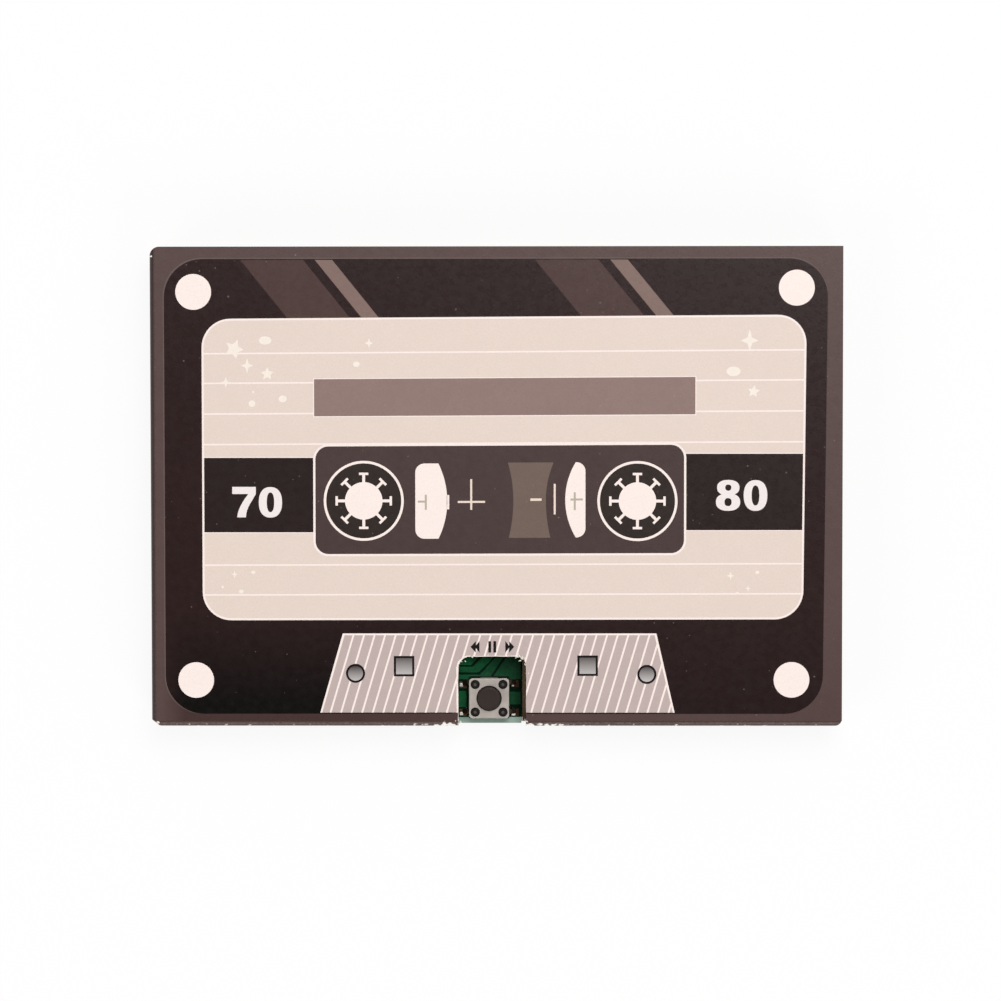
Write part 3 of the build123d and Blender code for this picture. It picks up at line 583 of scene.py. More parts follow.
BAR_TOP, BAR_LOW = 33.82, 24.6
BROAD_BARS = ((-38.14, 9.35, 7.43), (5.75, 9.44, 7.52))
NARROW_BARS = ((-27.04, 2.58, 7.43), (16.94, 2.61, 7.58))
BROAD_BROWN = tone(77, 57, 54)
NARROW_BROWN = tone(131, 108, 101)


def cut_shape(corners, height):
    """A flat convex outline, cut out of a plane side by side; open for editing."""
    xs = [x for x, _ in corners]
    ys = [y for _, y in corners]
    start_plane(min(xs) - 1, max(xs) + 1, min(ys) - 1, max(ys) + 1, height)
    for point, outward in sides_of(corners):
        cut(point, outward)


def film_shape(corners, number):
    """A printed area with a convex outline."""
    cut_shape(corners, layer(number))
    return film()


def slanted(foot, head, width, low, top):
    """The corners of a slanting bar, from the left end of its foot."""
    return [(foot, low), (foot + width, low), (head + width, top), (head, top)]


def light_bars(bars):
    """Bars given by their left end at the top, their width and their lean."""
    return [film_shape(slanted(left + lean, left, width, BAR_LOW, BAR_TOP), 4) for left, width, lean in bars]


print_on_front("broad_bars", light_bars(BROAD_BARS), ink("broad_brown", BROAD_BROWN, 0.08), lean=0)
print_on_front("narrow_bars", light_bars(NARROW_BARS), ink("narrow_brown", NARROW_BROWN), lean=0)

# The four pale discs in the corners of the field.

DISC_RADIUS = 2.67
DISCS = ((-45.19, 29.08), (44.68, 29.62), (-45.02, -28.95), (44.03, -28.92))
DISC_WHITE = tone(252, 237, 230)


def film_disc(x, y, radius, number, sides):
    """A printed disc."""
    start_disc(x, y, radius, layer(number), sides)
    return film()


pale_white = ink("pale_white", DISC_WHITE, 0.012, 0.3)
print_on_front("corner_discs", [film_disc(*place, DISC_RADIUS, 4, 96) for place in DISCS], pale_white, lean=0)

# The cream label, with round corners and a white edge, and its white ruled lines.
# The lines stop at the title strip and at the window.

LABEL_LEFT, LABEL_RIGHT = -43.98, 46.12
LABEL_LOW, LABEL_HIGH = -19.92, 25.34
LABEL_CORNER = 4.3
LABEL_EDGE = 0.3
LABEL_STILL = 19.6
LABEL_CREAM = tone(231, 213, 202)
HALF_RULE = 0.12
RULES = (20.12, 15.68, 11.08, 6.5, -11.62, -16.1)

label = film_box(LABEL_LEFT, LABEL_RIGHT, LABEL_LOW, LABEL_HIGH, 4.6, LABEL_CORNER)
print_on_front("label_edge", [label], pale_white, still=LABEL_STILL)
left, right = LABEL_LEFT + LABEL_EDGE, LABEL_RIGHT - LABEL_EDGE
label = film_box(left, right, LABEL_LOW + LABEL_EDGE, LABEL_HIGH - LABEL_EDGE, 5, LABEL_CORNER - LABEL_EDGE)
print_on_front("label", [label], ink("label_cream", LABEL_CREAM, 0.018, 0.3), still=LABEL_STILL)
rules = [film_box(left, right, height - HALF_RULE, height + HALF_RULE, 6) for height in RULES]
print_on_front("label_rules", rules, pale_white, still=LABEL_STILL)

# Small pale stars, sparkles and dots scattered on the label's corners.

SPARKLE_LAYER = 6.5
SPARKLE_WHITE = tone(248, 236, 224)
STARS = ((-39.15, 20.8, 1.5, 23), (-34.2, 17.05, 1.0, 0), (38.3, 14.0, 0.95, 8))
SPARKLES = (
    (-37.2, 18.3, 0.95, 1.15),
    (-40.4, 15.8, 0.75, 0.85),
    (-19.0, 21.55, 0.65, 0.8),
    (-39.2, -13.0, 0.5, 0.6),
    (37.7, 21.55, 1.35, 1.7),
    (34.9, -13.4, 0.55, 0.65),
    (37.5, -15.3, 0.4, 0.5),
)
DOTS = (
    (-34.5, 22.05, 0.95, 0.62),
    (-36.3, 14.35, 0.17, 0.17),
    (-36.5, 12.6, 0.5, 0.5),
    (-31.9, 13.3, 0.6, 0.52),
    (-20.9, 18.4, 0.5, 0.4),
    (35.3, 17.0, 1.05, 0.72),
    (-36.4, -12.7, 0.3, 0.25),
    (-38.2, -15.6, 0.35, 0.3),
    (-41.0, -14.9, 0.2, 0.2),
    (38.9, -12.9, 0.3, 0.25),
    (35.9, -16.0, 0.25, 0.2),
)


def mark(x, y, across, along, sides=24, waist=None, turn=0):
    """A dot, or with a waist a star or sparkle: a ring of points with every second one drawn in."""
    middle = Vector((x, y, layer(SPARKLE_LAYER))) * MM

    def choose_odd(corner):
        corner.select = corner.index % 2 == 1

    start_disc(x, y, 1, layer(SPARKLE_LAYER), sides)
    if waist:
        bpy.ops.transform.rotate(value=math.radians(turn), orient_axis="Z", center_override=middle)
        bpy.ops.mesh.select_mode(type="VERT")
        bpy.ops.mesh.select_all(action="DESELECT")
        move_points(choose_odd)
        bpy.ops.transform.resize(value=(waist, waist, 1), center_override=middle)
        select_all()
    bpy.ops.transform.resize(value=(across, along, 1), center_override=middle)
    return film()


marks = [mark(x, y, radius, radius, 10, 0.5, turn) for x, y, radius, turn in STARS]
marks += [mark(*sparkle, 8, 0.36) for sparkle in SPARKLES]
marks += [mark(*dot) for dot in DOTS]
print_on_front("label_sparkles", marks, ink("sparkle_white", SPARKLE_WHITE, 0.012, 0.3))

# The title strip, left bare, with a hair of white round it.

STRIP = (-27.22, 29.62, 10.66, 16.2)
HAIRLINE = 0.14
STRIP_BROWN = tone(145, 121, 115)


def grown(sides, gap):
    """A rectangle's left, right, low and high side, each moved out by a gap."""
    left, right, low, high = sides
    return left - gap, right + gap, low - gap, high + gap


print_on_front("title_edge", [film_box(*grown(STRIP, HAIRLINE), 7)], pale_white)
print_on_front("title_strip", [film_box(*STRIP, 8)], ink("strip_brown", STRIP_BROWN, 0.05))

# The dark boxes left and right of the window, each with a plain number.

BOXES = ((LABEL_LEFT + LABEL_EDGE, -27.25, -6.8, 4.33), (28.2, LABEL_RIGHT - LABEL_EDGE, -6.5, 4.9))
ZEROS = ((-33.79, -2.31, 1.74, 2.28, 0.55, 1.48), (38.6, -1.32, 1.76, 2.3, 0.57, 1.5))
EIGHT = ((34.54, -0.15, 1.67, 1.15, 0.45, 0.46), (34.51, -2.31, 1.81, 1.3, 0.53, 0.6))
SEVEN_BAR = (-39.5, -35.97, -1.07, 0.0)
SEVEN_STEM = (
    (-4.56, -38.77, -37.46),
    (-4.0, -38.68, -37.41),
    (-3.47, -38.53, -37.27),
    (-2.95, -38.31, -37.05),
    (-2.43, -38.03, -36.78),
    (-1.8, -37.64, -36.39),
    (-1.07, -37.1, -35.97),
)
OVAL_POWER = 2.35
BOX_BLACK = tone(39, 28, 26)
NUMBER_WHITE = tone(243, 233, 230)


def oval(x, y, across, along, points=36):
    """An oval a little squarer than an ellipse, as an outline."""
    outline = []
    for step in range(points):
        turn = 2 * math.pi * step / points
        run = Vector((math.cos(turn), math.sin(turn)))
        reach = (abs(run.x) ** OVAL_POWER + abs(run.y) ** OVAL_POWER) ** (-1 / OVAL_POWER)
        outline.append((x + run.x * reach * across, y + run.y * reach * along))
    return outline


def ring_figure(x, y, across, along, hole_across, hole_along, number=9):
    """A nought: an oval with an oval hole."""
    cut_shape(oval(x, y, across, along), layer(number))
    punch(oval(x, y, hole_across, hole_along, 24))
    return film()


def film_rows(rows, number):
    """A printed shape given as rows of height, left and right, from its foot up."""

    def spread(corner):
        height, left, right = rows[round(corner.co.y / MM)]
        share = corner.co.x / MM + 0.5
        corner.co.x = (left + (right - left) * share) * MM
        corner.co.y = height * MM

    start_plane(-0.5, 0.5, 0, len(rows) - 1, layer(number))
    bpy.ops.mesh.subdivide(number_cuts=len(rows) - 2)
    move_points(spread)
    return film()


edges = [film_box(left, right, low - HAIRLINE, high + HAIRLINE, 7) for left, right, low, high in BOXES]
print_on_front("side_box_edges", edges, pale_white, lean=0, still=LABEL_STILL)
boxes = [film_box(*sides, 8) for sides in BOXES]
print_on_front("side_boxes", boxes, ink("box_black", BOX_BLACK, 0.1), lean=0, still=LABEL_STILL)
figures = [ring_figure(*zero) for zero in ZEROS]
figures += [ring_figure(*EIGHT[0]), ring_figure(*EIGHT[1], 9.3)]
figures += [film_box(*SEVEN_BAR, 9), film_rows(SEVEN_STEM, 9)]
print_on_front("side_numbers", figures, ink("number_white", NUMBER_WHITE, 0.012, 0.3), lean=0)

# The window in the middle of the label, with round corners and a white edge.

WINDOW = (-27.06, 27.95, -10.0, 6.14)
WINDOW_EDGE = 0.33
WINDOW_CORNER = 1.95
WINDOW_BROWN = tone(74, 59, 57)

window = film_box(*grown(WINDOW, WINDOW_EDGE), 8.4, WINDOW_CORNER + WINDOW_EDGE)
print_on_front("window_edge", [window], pale_white)
print_on_front("window", [film_box(*WINDOW, 8.7, WINDOW_CORNER)], ink("window_brown", WINDOW_BROWN, 0.09))

# The two reels in the window: a white ring, a dark disc and a pale hub with
# eight teeth, each tooth a short stem with a cap.

REELS = ((-19.85, -2.1), (21.0, -2.15))
RING_OUTER, RING_INNER = 5.98, 5.6
HUB_RADIUS = 2.8
TEETH = 8
CAP_LOW, CAP_HIGH = 3.86, 4.22
HALF_STEM, HALF_CAP = 0.215, 0.7
TOOTH_LAYER = 9.7
REEL_DARK = tone(48, 39, 35)

rings, wells, hubs = [], [], []
for x, y in REELS:
    rings.append(film_disc(x, y, RING_OUTER, 9.2, 128))
    wells.append(film_disc(x, y, RING_INNER, 9.5, 128))
    hubs.append(film_disc(x, y, HUB_RADIUS, 10, 96))
    middle = Vector((x, y, layer(TOOTH_LAYER))) * MM
    for count in range(TEETH):
        for half, low, high in ((HALF_STEM, HUB_RADIUS * 0.95, CAP_LOW), (HALF_CAP, CAP_LOW, CAP_HIGH)):
            start_plane(x - half, x + half, y + low, y + high, layer(TOOTH_LAYER))
            turn = 2 * math.pi * count / TEETH
            bpy.ops.transform.rotate(value=turn, orient_axis="Z", center_override=middle)
            hubs.append(film())
print_on_front("reel_rings", rings, pale_white, lean=0)
print_on_front("reel_wells", wells, ink("reel_dark", REEL_DARK, 0.1), lean=0)
print_on_front("reel_hubs", hubs, pale_white, lean=0)

# What else is printed in the window: the two pale ends of the tape roll, a
# waisted brown patch between them, and thin marks.

ROLL_ENDS = ((-12.15, -8.7, -7.38, 3.52, -7.74), (13.25, 11.8, 10.23, 3.62, -7.62))
ROLL_CORNER = 1.35
ROLL_TAB = (-7.45, -7.08, -3.35, -1.2)
PATCH_TOP = (1.68, 8.5, 3.6)
PATCH_WAIST = (2.49, 7.34, -2.0)
PATCH_LOW = (1.8, 8.0, -7.65)
PATCH_ROWS = 16
PATCH_BROWN = tone(114, 97, 88)
MARK_PALE = tone(240, 220, 205)
MARK_GREY = tone(186, 176, 160)
HALF_THIN = 0.15


def roll_end(flat, corner, bulge, top, low):
    """One end of the tape roll: flat on the outside with round corners, bulging on the inside."""
    side = 1 if bulge > flat else -1
    half = (top - low) / 2
    rise = (bulge - corner) * side
    radius = (half**2 + rise**2) / (2 * rise)
    widest = math.asin(half / radius)
    middle = (top + low) / 2
    outline = []
    for step in range(-12, 13):
        turn = widest * step / 12
        outline.append((bulge * side - radius + radius * math.cos(turn), middle + radius * math.sin(turn)))
    outline += quarter(flat * side + ROLL_CORNER, top - ROLL_CORNER, ROLL_CORNER, 90, 8)
    outline += quarter(flat * side + ROLL_CORNER, low + ROLL_CORNER, ROLL_CORNER, 180, 8)
    return film_shape([(x * side, y) for x, y in outline][::side], 9.4)


def patch_row(step):
    """One row of the waisted patch, from its foot up: height, left and right."""
    y = PATCH_LOW[2] + (PATCH_TOP[2] - PATCH_LOW[2]) * step / PATCH_ROWS
    end = PATCH_TOP if y > PATCH_WAIST[2] else PATCH_LOW
    share = ((y - PATCH_WAIST[2]) / (end[2] - PATCH_WAIST[2])) ** 2
    return (y, *(PATCH_WAIST[side] + (end[side] - PATCH_WAIST[side]) * share for side in (0, 1)))


def thin_mark(x, y, reach=0, rise=0, half=HALF_THIN):
    """A thin straight mark: level with a reach to the right, or upright with a rise."""
    if rise:
        return film_box(x - half, x + half, y, rise, 10)
    return film_box(x, reach, y - half, y + half, 9.8)


ends = [roll_end(*end) for end in ROLL_ENDS] + [film_box(*ROLL_TAB, 9.4)]
print_on_front("tape_roll_ends", ends, pale_white)
patch = film_rows([patch_row(step) for step in range(PATCH_ROWS + 1)], 9.4)
print_on_front("tape_patch", [patch], ink("patch_brown", PATCH_BROWN, 0.07))
marks = [
    thin_mark(-3.8, -3.43, rise=1.15),
    thin_mark(-5.81, -2.25, reach=-1.74),
    thin_mark(5.04, -1.95, reach=6.7, half=HALF_THIN * 1.2),
    thin_mark(8.66, -4.17, rise=0.4),
]
print_on_front("window_marks", marks, ink("mark_pale", MARK_PALE, 0.02, 0.3))
marks = [
    thin_mark(-11.77, -2.18, reach=-10.7),
    thin_mark(-10.58, -3.43, rise=-1.14),
    thin_mark(11.01, -1.95, reach=12.86),
    thin_mark(11.65, -3.53, rise=-0.88),
]
print_on_front("roll_marks", marks, ink("mark_grey", MARK_GREY, 0.02, 0.3))

# The striped gate round the notch: a mauve field with a white edge and white
# slanting lines, two screw heads, two square holes and three tape symbols, all
# printed.

GATE = ((-26.28, -33.7), (26.58, -33.7), (23.86, -21.85), (-22.9, -21.85))
GATE_EDGE = 0.28
GATE_NOTCH_GAP = 0.05
GATE_CHIP = 0.28
GATE_SEEDS = (11, 12)
GATE_MAUVE = tone(195, 177, 173)
STRIPES = 33
STRIPE_PITCH = 1.576
STRIPE_WIDTH = 0.29
STRIPE_LEAN = 0.295
STRIPE_SHIFT = -0.19
ROUND_MARKS = ((-21.15, -27.93), (22.42, -28.12))
ROUND_RADIUS = 1.43
SQUARE_MARKS = ((-13.88, -26.86), (13.57, -26.81))
SQUARE_HALF = 1.53
RIM_LINE = 0.32
SHADE_DARK = tone(74, 65, 65)
SHADE_PALE = tone(196, 190, 188)
SYMBOL_BLACK = tone(20, 15, 15)
SYMBOL_TOP, SYMBOL_LOW = -23.12, -24.82
ARROWS = ((-3.93, -3.14), (-3.3, -2.6), (2.59, 1.83), (1.97, 1.27))
PAUSE_BARS = ((-1.27, -0.86), (-0.52, -0.1))


def shaded_print(name, high, low):
    """A printed symbol that fades from dark at its upper edge to pale at its lower one."""
    finish = Finish(name)
    fade = finish.ranged(finish.axis("Y"), 0.0, 1.0, high * MM, low * MM)
    dark_dots = dots_on(finish, SHADE_DARK, 0.88, scaled(SHADE_DARK, 1.06))
    return varnish(finish, finish.blended(fade, dark_dots, SHADE_PALE), 0.3)


cut_shape(GATE, layer(4))
print_on_front("gate_edge", [film(GATE_NOTCH_GAP, GATE_SEEDS[0], GATE_CHIP)], pale_white, fitted=False)
corners = []
for (x, y), (inward, drop) in zip(GATE, ((1, 0), (-1, 0), (-1, 1), (1, 1))):
    corners.append((x + GATE_EDGE * inward, y - GATE_EDGE * drop))
cut_shape(corners, layer(5))
gate = film(GATE_CHIP, GATE_SEEDS[1], 0)
print_on_front("gate", [gate], ink("gate_mauve", GATE_MAUVE, 0.05), fitted=False)

(low_left, foot_height), (_, top) = GATE[0], GATE[3]
stripes = []
for count in range(1, STRIPES + 1):
    foot = low_left + GATE_EDGE + count * STRIPE_PITCH - STRIPE_WIDTH + STRIPE_SHIFT
    head = foot + STRIPE_LEAN * (top - foot_height)
    cut_shape(slanted(foot, head, STRIPE_WIDTH, foot_height, top - GATE_EDGE / 2), layer(6))
    cut(*list(sides_of(GATE))[1])
    if head > NOTCH_LEFT - 1 and foot < NOTCH_RIGHT + 1:
        punch(round_outline(GATE_NOTCH_GAP))
    stripes.append(film())
print_on_front("gate_stripes", stripes, pale_white, fitted=False)

symbol_black = ink("symbol_black", SYMBOL_BLACK, 0.1)
rims = [film_disc(x, y, ROUND_RADIUS, 7, 64) for x, y in ROUND_MARKS]
rims += [film_box(*grown((x, x, y, y), SQUARE_HALF), 7) for x, y in SQUARE_MARKS]
print_on_front("gate_mark_rims", rims, symbol_black)
rounds = [film_disc(x, y, ROUND_RADIUS - RIM_LINE, 8, 64) for x, y in ROUND_MARKS]
print_on_front("round_marks", rounds, shaded_print("round_shade", -26.8, -29.1))
squares = [film_box(*grown((x, x, y, y), SQUARE_HALF - RIM_LINE), 8) for x, y in SQUARE_MARKS]
print_on_front("square_marks", squares, shaded_print("square_shade", -25.2, -28.2))

symbols = []
for tip, foot in ARROWS:
    corners = [(tip, (SYMBOL_TOP + SYMBOL_LOW) / 2), (foot, SYMBOL_LOW), (foot, SYMBOL_TOP)]
    symbols.append(film_shape(corners if tip < foot else corners[::-1], 7))
symbols += [film_box(*ends, SYMBOL_LOW, SYMBOL_TOP, 7) for ends in PAUSE_BARS]
print_on_front("tape_symbols", symbols, symbol_black)

# Torn paper round the notch: short white fibres stand out where the knife
# turned its corners and where it met the bottom fold.

TEAR_SEED = 17
TEAR_THICKNESS = 0.12
TEAR_LAYER = 9.5
TEARS = (
    (-4.9, -26.0, 140, 2, 0.6),
    (-3.95, -25.35, 110, 3, 0.7),
    (-1.2, -25.27, 90, 3, 0.5),
    (2.0, -25.22, 85, 4, 0.7),
    (3.2, -25.3, 60, 6, 1.0),
    (3.8, -25.7, 45, 5, 0.9),
    (4.25, -26.5, 25, 2, 0.6),
    (4.44, -28.0, 5, 2, 0.5),
    (-5.68, -34.9, 185, 4, 0.8),
    (4.44, -34.9, -5, 5, 0.9),
)
CORNER_NICKS = ((-51.1, 34.35, 0.35, 0.3, 200), (-50.35, -35.25, 0.5, 0.3, 150))
SLIVER = ((0, -0.5), (0.5, -0.36), (1, 0), (0.6, 0.3), (0, 0.5))


def fibre(x, y, length, width, turn):
    """One torn sliver of paper, widest at its root."""
    run = Vector((math.cos(turn), math.sin(turn)))
    side = Vector((-run.y, run.x))
    corners = [Vector((x, y)) + run * length * far + side * width * out for far, out in SLIVER]
    cut_shape(corners, layer(TEAR_LAYER))
    thicken(TEAR_THICKNESS)
    return settle()


tear = random.Random(TEAR_SEED)
fibres = []
for x, y, outward, count, size in TEARS:
    for _ in range(count):
        turn = math.radians(outward + tear.uniform(-80, 80) + (180 if tear.random() < 0.35 else 0))
        spot = (x + tear.uniform(-0.4, 0.4), y + tear.uniform(-0.2, 0.2))
        fibres.append(fibre(*spot, tear.uniform(0.2, 0.6) * size, tear.uniform(0.1, 0.26) * size, turn))
fibres += [fibre(*nick, math.radians(outward)) for *nick, outward in CORNER_NICKS]
install(join_as("torn_fibres", fibres), [card_core], "front_leaf")

# The bottom of the folded sheet. The printed card turns round the front's lower
# edge, runs down the leaf and in under it. The notch cuts the fold in two, and
# the ink is scuffed white on the bend beside the cut.

FOLD_RADIUS = 0.8
FOLD_STEPS = 10
FOLD_CORNERS = (0.75, 1.15)
FOLD_SEEDS = (21, 22)
SHEET = FRONT_TOP - FRONT_LOW
SCUFF_REACH = 9.0
CREST_PLACE = -35.3
# The bottom fold's brown is the border's brown made darker, to the border's tone at the card's foot: painted
# shade.
FOLD_PAINTED_SHADE_BROWN = tone(77, 60, 57)


def start_box(low, high):
    """A box between two corners, open for editing."""
    low, high = Vector(low), Vector(high)
    start(bpy.ops.mesh.primitive_cube_add, (low + high) / 2, (high - low) * MM, size=1)


def give_wall(piece):
    """An open shell gets its wall, inwards; its cut edges and its inside show bare card."""
    solidify = piece.modifiers.new("wall", "SOLIDIFY")
    solidify.thickness = SHEET * MM
    solidify.offset = -1
    solidify.use_even_offset = True
    solidify.material_offset = 1
    solidify.material_offset_rim = 1
    bpy.ops.object.select_all(action="DESELECT")
    piece.select_set(True)
    bpy.context.view_layer.objects.active = piece
    bpy.ops.object.modifier_apply(modifier="wall")
    bpy.ops.object.shade_smooth_by_angle(angle=math.radians(35))


def scuffed_ink(name, colour, shade):
    """Ink on a bend: cracked white near the notch, dotted with wear along the lower edge, paler in a
    speckled band along its crest, and darkened by a given share below the fold's top: painted shade."""
    finish = ink(name, colour)
    printed = finish.shader.inputs["Base Color"].links[0].from_socket

    def away_from(letter, middle):
        """The distance from a plane across one axis."""
        away = finish.add("ShaderNodeMath", finish.axis(letter), middle * MM, operation="SUBTRACT")
        return finish.add("ShaderNodeMath", away, operation="ABSOLUTE")

    half = (NOTCH_RIGHT - NOTCH_LEFT) / 2
    from_notch = away_from("X", (NOTCH_LEFT + NOTCH_RIGHT) / 2)
    total = finish.grain(1100, 5)
    for part in (
        finish.ranged(from_notch, 0.24, 0.0, half * MM, (half + SCUFF_REACH) * MM),
        finish.ranged(finish.axis("Y"), 0.0, 0.23, -35.12 * MM, -35.46 * MM),
        finish.ranged(finish.axis("Z"), -0.3, 0.0, 6.2 * MM, 7.0 * MM),
    ):
        total = finish.add("ShaderNodeMath", total, part, operation="ADD")
    worn = finish.ranged(total, 0.0, 1.0, 0.83, 0.93)
    # Painted shade: below the fold's top the ink takes a darker copy of its colour.
    bend = finish.ranged(finish.axis("Z"), 0.0, 1.0, 7.5 * MM, 7.56 * MM)
    turned = finish.blended(bend, scaled(colour, shade), printed)
    crest = finish.ranged(away_from("Y", CREST_PLACE), 0.2, 0.0, 0.05 * MM, 0.22 * MM)
    crest_specks = finish.ranged(finish.grain(2600, 4), 0.25, 1.0, 0.35, 0.7)
    pale = finish.blended(finish.times(crest, crest_specks), turned, SPECK_PALE)
    finish.feed(finish.shader.inputs["Base Color"], finish.blended(worn, pale, PAPER_WHITE))
    return finish


def open_ends(axis, low, high):
    """Takes the faces off both ends of the box being edited."""
    pick(lambda place: min(abs(place[axis] - low[axis]), abs(place[axis] - high[axis])) < NEAR, "FACE")
    bpy.ops.mesh.delete(type="ONLY_FACE")


def bottom_fold(node, seed, inward):
    """One half of the bottom fold; inward is the way from its outer end to the notch."""
    low, high = box_of(node)
    top = layer(1)
    cut_end, radius = (high.x, FOLD_CORNERS[0]) if inward > 0 else (low.x, FOLD_CORNERS[1])
    shaker = random.Random(seed)
    start_box(low, (high.x, high.y + 1, top))
    for height in (low.z, top):
        pick(lambda place: place.y < low.y + NEAR and abs(place.z - height) < NEAR, "EDGE")
        bevel(FOLD_RADIUS, FOLD_STEPS)
    cut(high, (0, 1, 0))
    open_ends(0, low, high)
    shell = settle(node + "_sheet")
    for corner in shell.data.vertices:
        x, y, z = corner.co / MM
        if abs(x - cut_end) >= NEAR:
            reach = max(0, low.y + radius - y)
            corner.co.x += (radius - math.sqrt(max(0, radius**2 - reach**2))) * MM * inward
        elif z > low.z + 1:
            corner.co.x += shaker.uniform(-0.05, 0.02) * MM * inward
    finish_shell(shell, node, fold_brown, "front_leaf")


def finish_shell(shell, node, finish, body=None):
    """A fold or crease gets its two materials, its wall and its place on the model."""
    for part in (finish, card_core):
        shell.data.materials.append(part.owner)
    give_wall(shell)
    install(shell, [], body, node)


# Painted shade: where the sheet turns down the ink is darkened, to 0.95 of its colour on the bottom fold and
# to 0.42 on the creases and the spine.
fold_brown = scuffed_ink("fold_brown", FOLD_PAINTED_SHADE_BROWN, 0.95)
crease_brown = scuffed_ink("crease_brown", BORDER_BROWN, 0.42)
bottom_fold("bottom_fold_left", FOLD_SEEDS[0], 1)
bottom_fold("bottom_fold_right", FOLD_SEEDS[1], -1)

# The left side of the folded sheet: the crease to the front, the flat spine and
# the crease to the back. The creases bend as the card opens; here each is a fine
# curved sheet that meets the leaf on one side and the spine on the other.

CREASE_STEPS = 14
CREASE_FOOT = (-34.75, -35.25)


def crease(node, outer_height, inner_height):
    """A quarter turn of the sheet along the spine; gives it and how far across it meets its leaf."""
    low, high = box_of(node)
    upwards = 1 if outer_height > inner_height else -1
    start_box((low.x, low.y, low.z - 1), (high.x + 1, high.y, high.z + 1))
    cut((0, 0, outer_height), (0, 0, upwards))
    bpy.ops.mesh.select_all(action="DESELECT")
    pick(lambda place: abs(place.z - outer_height) < NEAR, "EDGE")
    bpy.ops.mesh.edge_face_add()
    pick(lambda place: abs(place.z - outer_height) < NEAR and place.x < low.x + NEAR, "EDGE")
    bevel(FOLD_RADIUS, CREASE_STEPS)
    cut((high.x, 0, 0), (1, 0, 0))
    cut((0, 0, inner_height), (0, 0, -upwards))
    open_ends(1, low, high)
    shell = settle(node + "_sheet")
    for corner in shell.data.vertices:
        x = corner.co.x / MM
        share = (x - low.x) / (high.x - low.x)
        foot = CREASE_FOOT[0] + (CREASE_FOOT[1] - CREASE_FOOT[0]) * share
        corner.co.y = (corner_height(x) if corner.co.y > 0 else foot) * MM
    finish_shell(shell, node, crease_brown)
    return shell, high.x * MM


crease_low = ends_of("front_crease", 2)[0]
shell, at_leaf = crease("front_crease", layer(1), crease_low)
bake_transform(shell)
crease_high = ends_of("back_crease", 2)[1]
shell, at_leaf = crease("back_crease", 0, crease_high)
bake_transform(shell)

start_box(*box_of("spine_strip"))
spine_sheet = settle("spine_sheet")
install(spine_sheet, [crease_brown, card_core], "spine", "spine_strip")
for face in spine_sheet.data.polygons:
    face.material_index = 0 if face.normal.x < -0.5 else 1

# The back cover: the other end of the same sheet, brown like the front's border
# with a thin pale frame, and bare card inside. It lies on the table.

BACK_FRAME_INSET = 4.0
BACK_FRAME_LINE = 0.35
BACK_FRAME_CORNER = 3.0
BACK_CORNER = 0.6
BACK_SHEET_LOW = 0.01
BACK_INK_TOP, BACK_INK_DEPTH = 0.012, 0.008
BACK_FRAME_TOP, BACK_FIELD_TOP, BACK_FILM_DEPTH = 0.006, 0.004, 0.004
BACK_BROWN = tone(84, 66, 60)

low, high = box_of("back_cover")


def back_layer(name, top, depth, finish, inset=0, corner=BACK_CORNER, node=None):
    """A layer of the back cover; without an inset only its lower outer corner is round."""
    start_plane(low.x + inset, high.x - inset, low.y + inset, high.y - inset, top)
    if not inset:
        pick(lambda place: place.x > high.x - 0.1 and place.y < 0)
    bevel(corner, 10 if inset else 5, "VERTICES")
    thicken(depth)
    install(settle(name), [finish], "back_leaf", node)


back_layer("back_sheet", high.z, high.z - BACK_SHEET_LOW, card_core, node="back_cover")
back_brown = ink("back_brown", BACK_BROWN, 0.08, 0.45)
back_layer("back_ink", BACK_INK_TOP, BACK_INK_DEPTH, back_brown)
back_pale = ink("back_pale", LABEL_CREAM, 0.03, 0.45)
inset, corner = BACK_FRAME_INSET, BACK_FRAME_CORNER
back_layer("back_frame", BACK_FRAME_TOP, BACK_FILM_DEPTH, back_pale, inset, corner)
inset, corner = inset + BACK_FRAME_LINE, corner - BACK_FRAME_LINE
back_layer("back_field", BACK_FIELD_TOP, BACK_FILM_DEPTH, back_brown, inset, corner)

# The writing sheet, glued inside the back cover: thin cream paper with ruled lines.

WRITING_LINES = 9
WRITING_PITCH = 6.2
WRITING_HALF_LINE = 0.09
WRITING_MARGIN = 8
WRITING_INK = 0.006
RULING_DEPTH = 0.008
WRITING_CREAM = tone(240, 228, 208)
RULING_BROWN = tone(176, 152, 140)

low, high = box_of("message_sheet")
start_plane(low.x, high.x, low.y, high.y, high.z - WRITING_INK)
thicken(high.z - low.z - WRITING_INK)
writing_paper = paper("writing_paper", WRITING_CREAM, 0.9)
install(settle("writing_sheet"), [writing_paper], "back_leaf", "message_sheet")

lines = []
for count in range(WRITING_LINES):
    y = (count - (WRITING_LINES - 1) / 2) * WRITING_PITCH
    left, right = low.x + WRITING_MARGIN, high.x - WRITING_MARGIN
    start_plane(left, right, y - WRITING_HALF_LINE, y + WRITING_HALF_LINE, high.z)
    thicken(RULING_DEPTH)
    lines.append(settle())
ruling_brown = ink("ruling_brown", RULING_BROWN, 0.05, 0.6)
install(join_as("writing_lines", lines), [ruling_brown], "back_leaf")

# The inner liner: the last flap of the sheet, glued over the module inside the
# front leaf. It is cream with thin brown frames round its edge, the record
# button's hole, the lamp, the microphone and the speaker's holes.

LINER_LINE = 0.3
LINER_RINGS = ((-27.75, -26.8, 2.75), (-20.75, -26.8, 1.45), (-42.15, -22.8, 1.8), (28.0, -5.75, 12.6))
LINER_INSET = 4.5
LINER_CORNER = 3.0
LINER_INK = 0.01
LINER_CREAM = tone(236, 222, 206)


def dress(finish, *names):
    """A CAD part keeps its shape and gets its real finish."""
    for name in names:
        for slot in bpy.data.objects[name].material_slots:
            slot.material = finish.owner


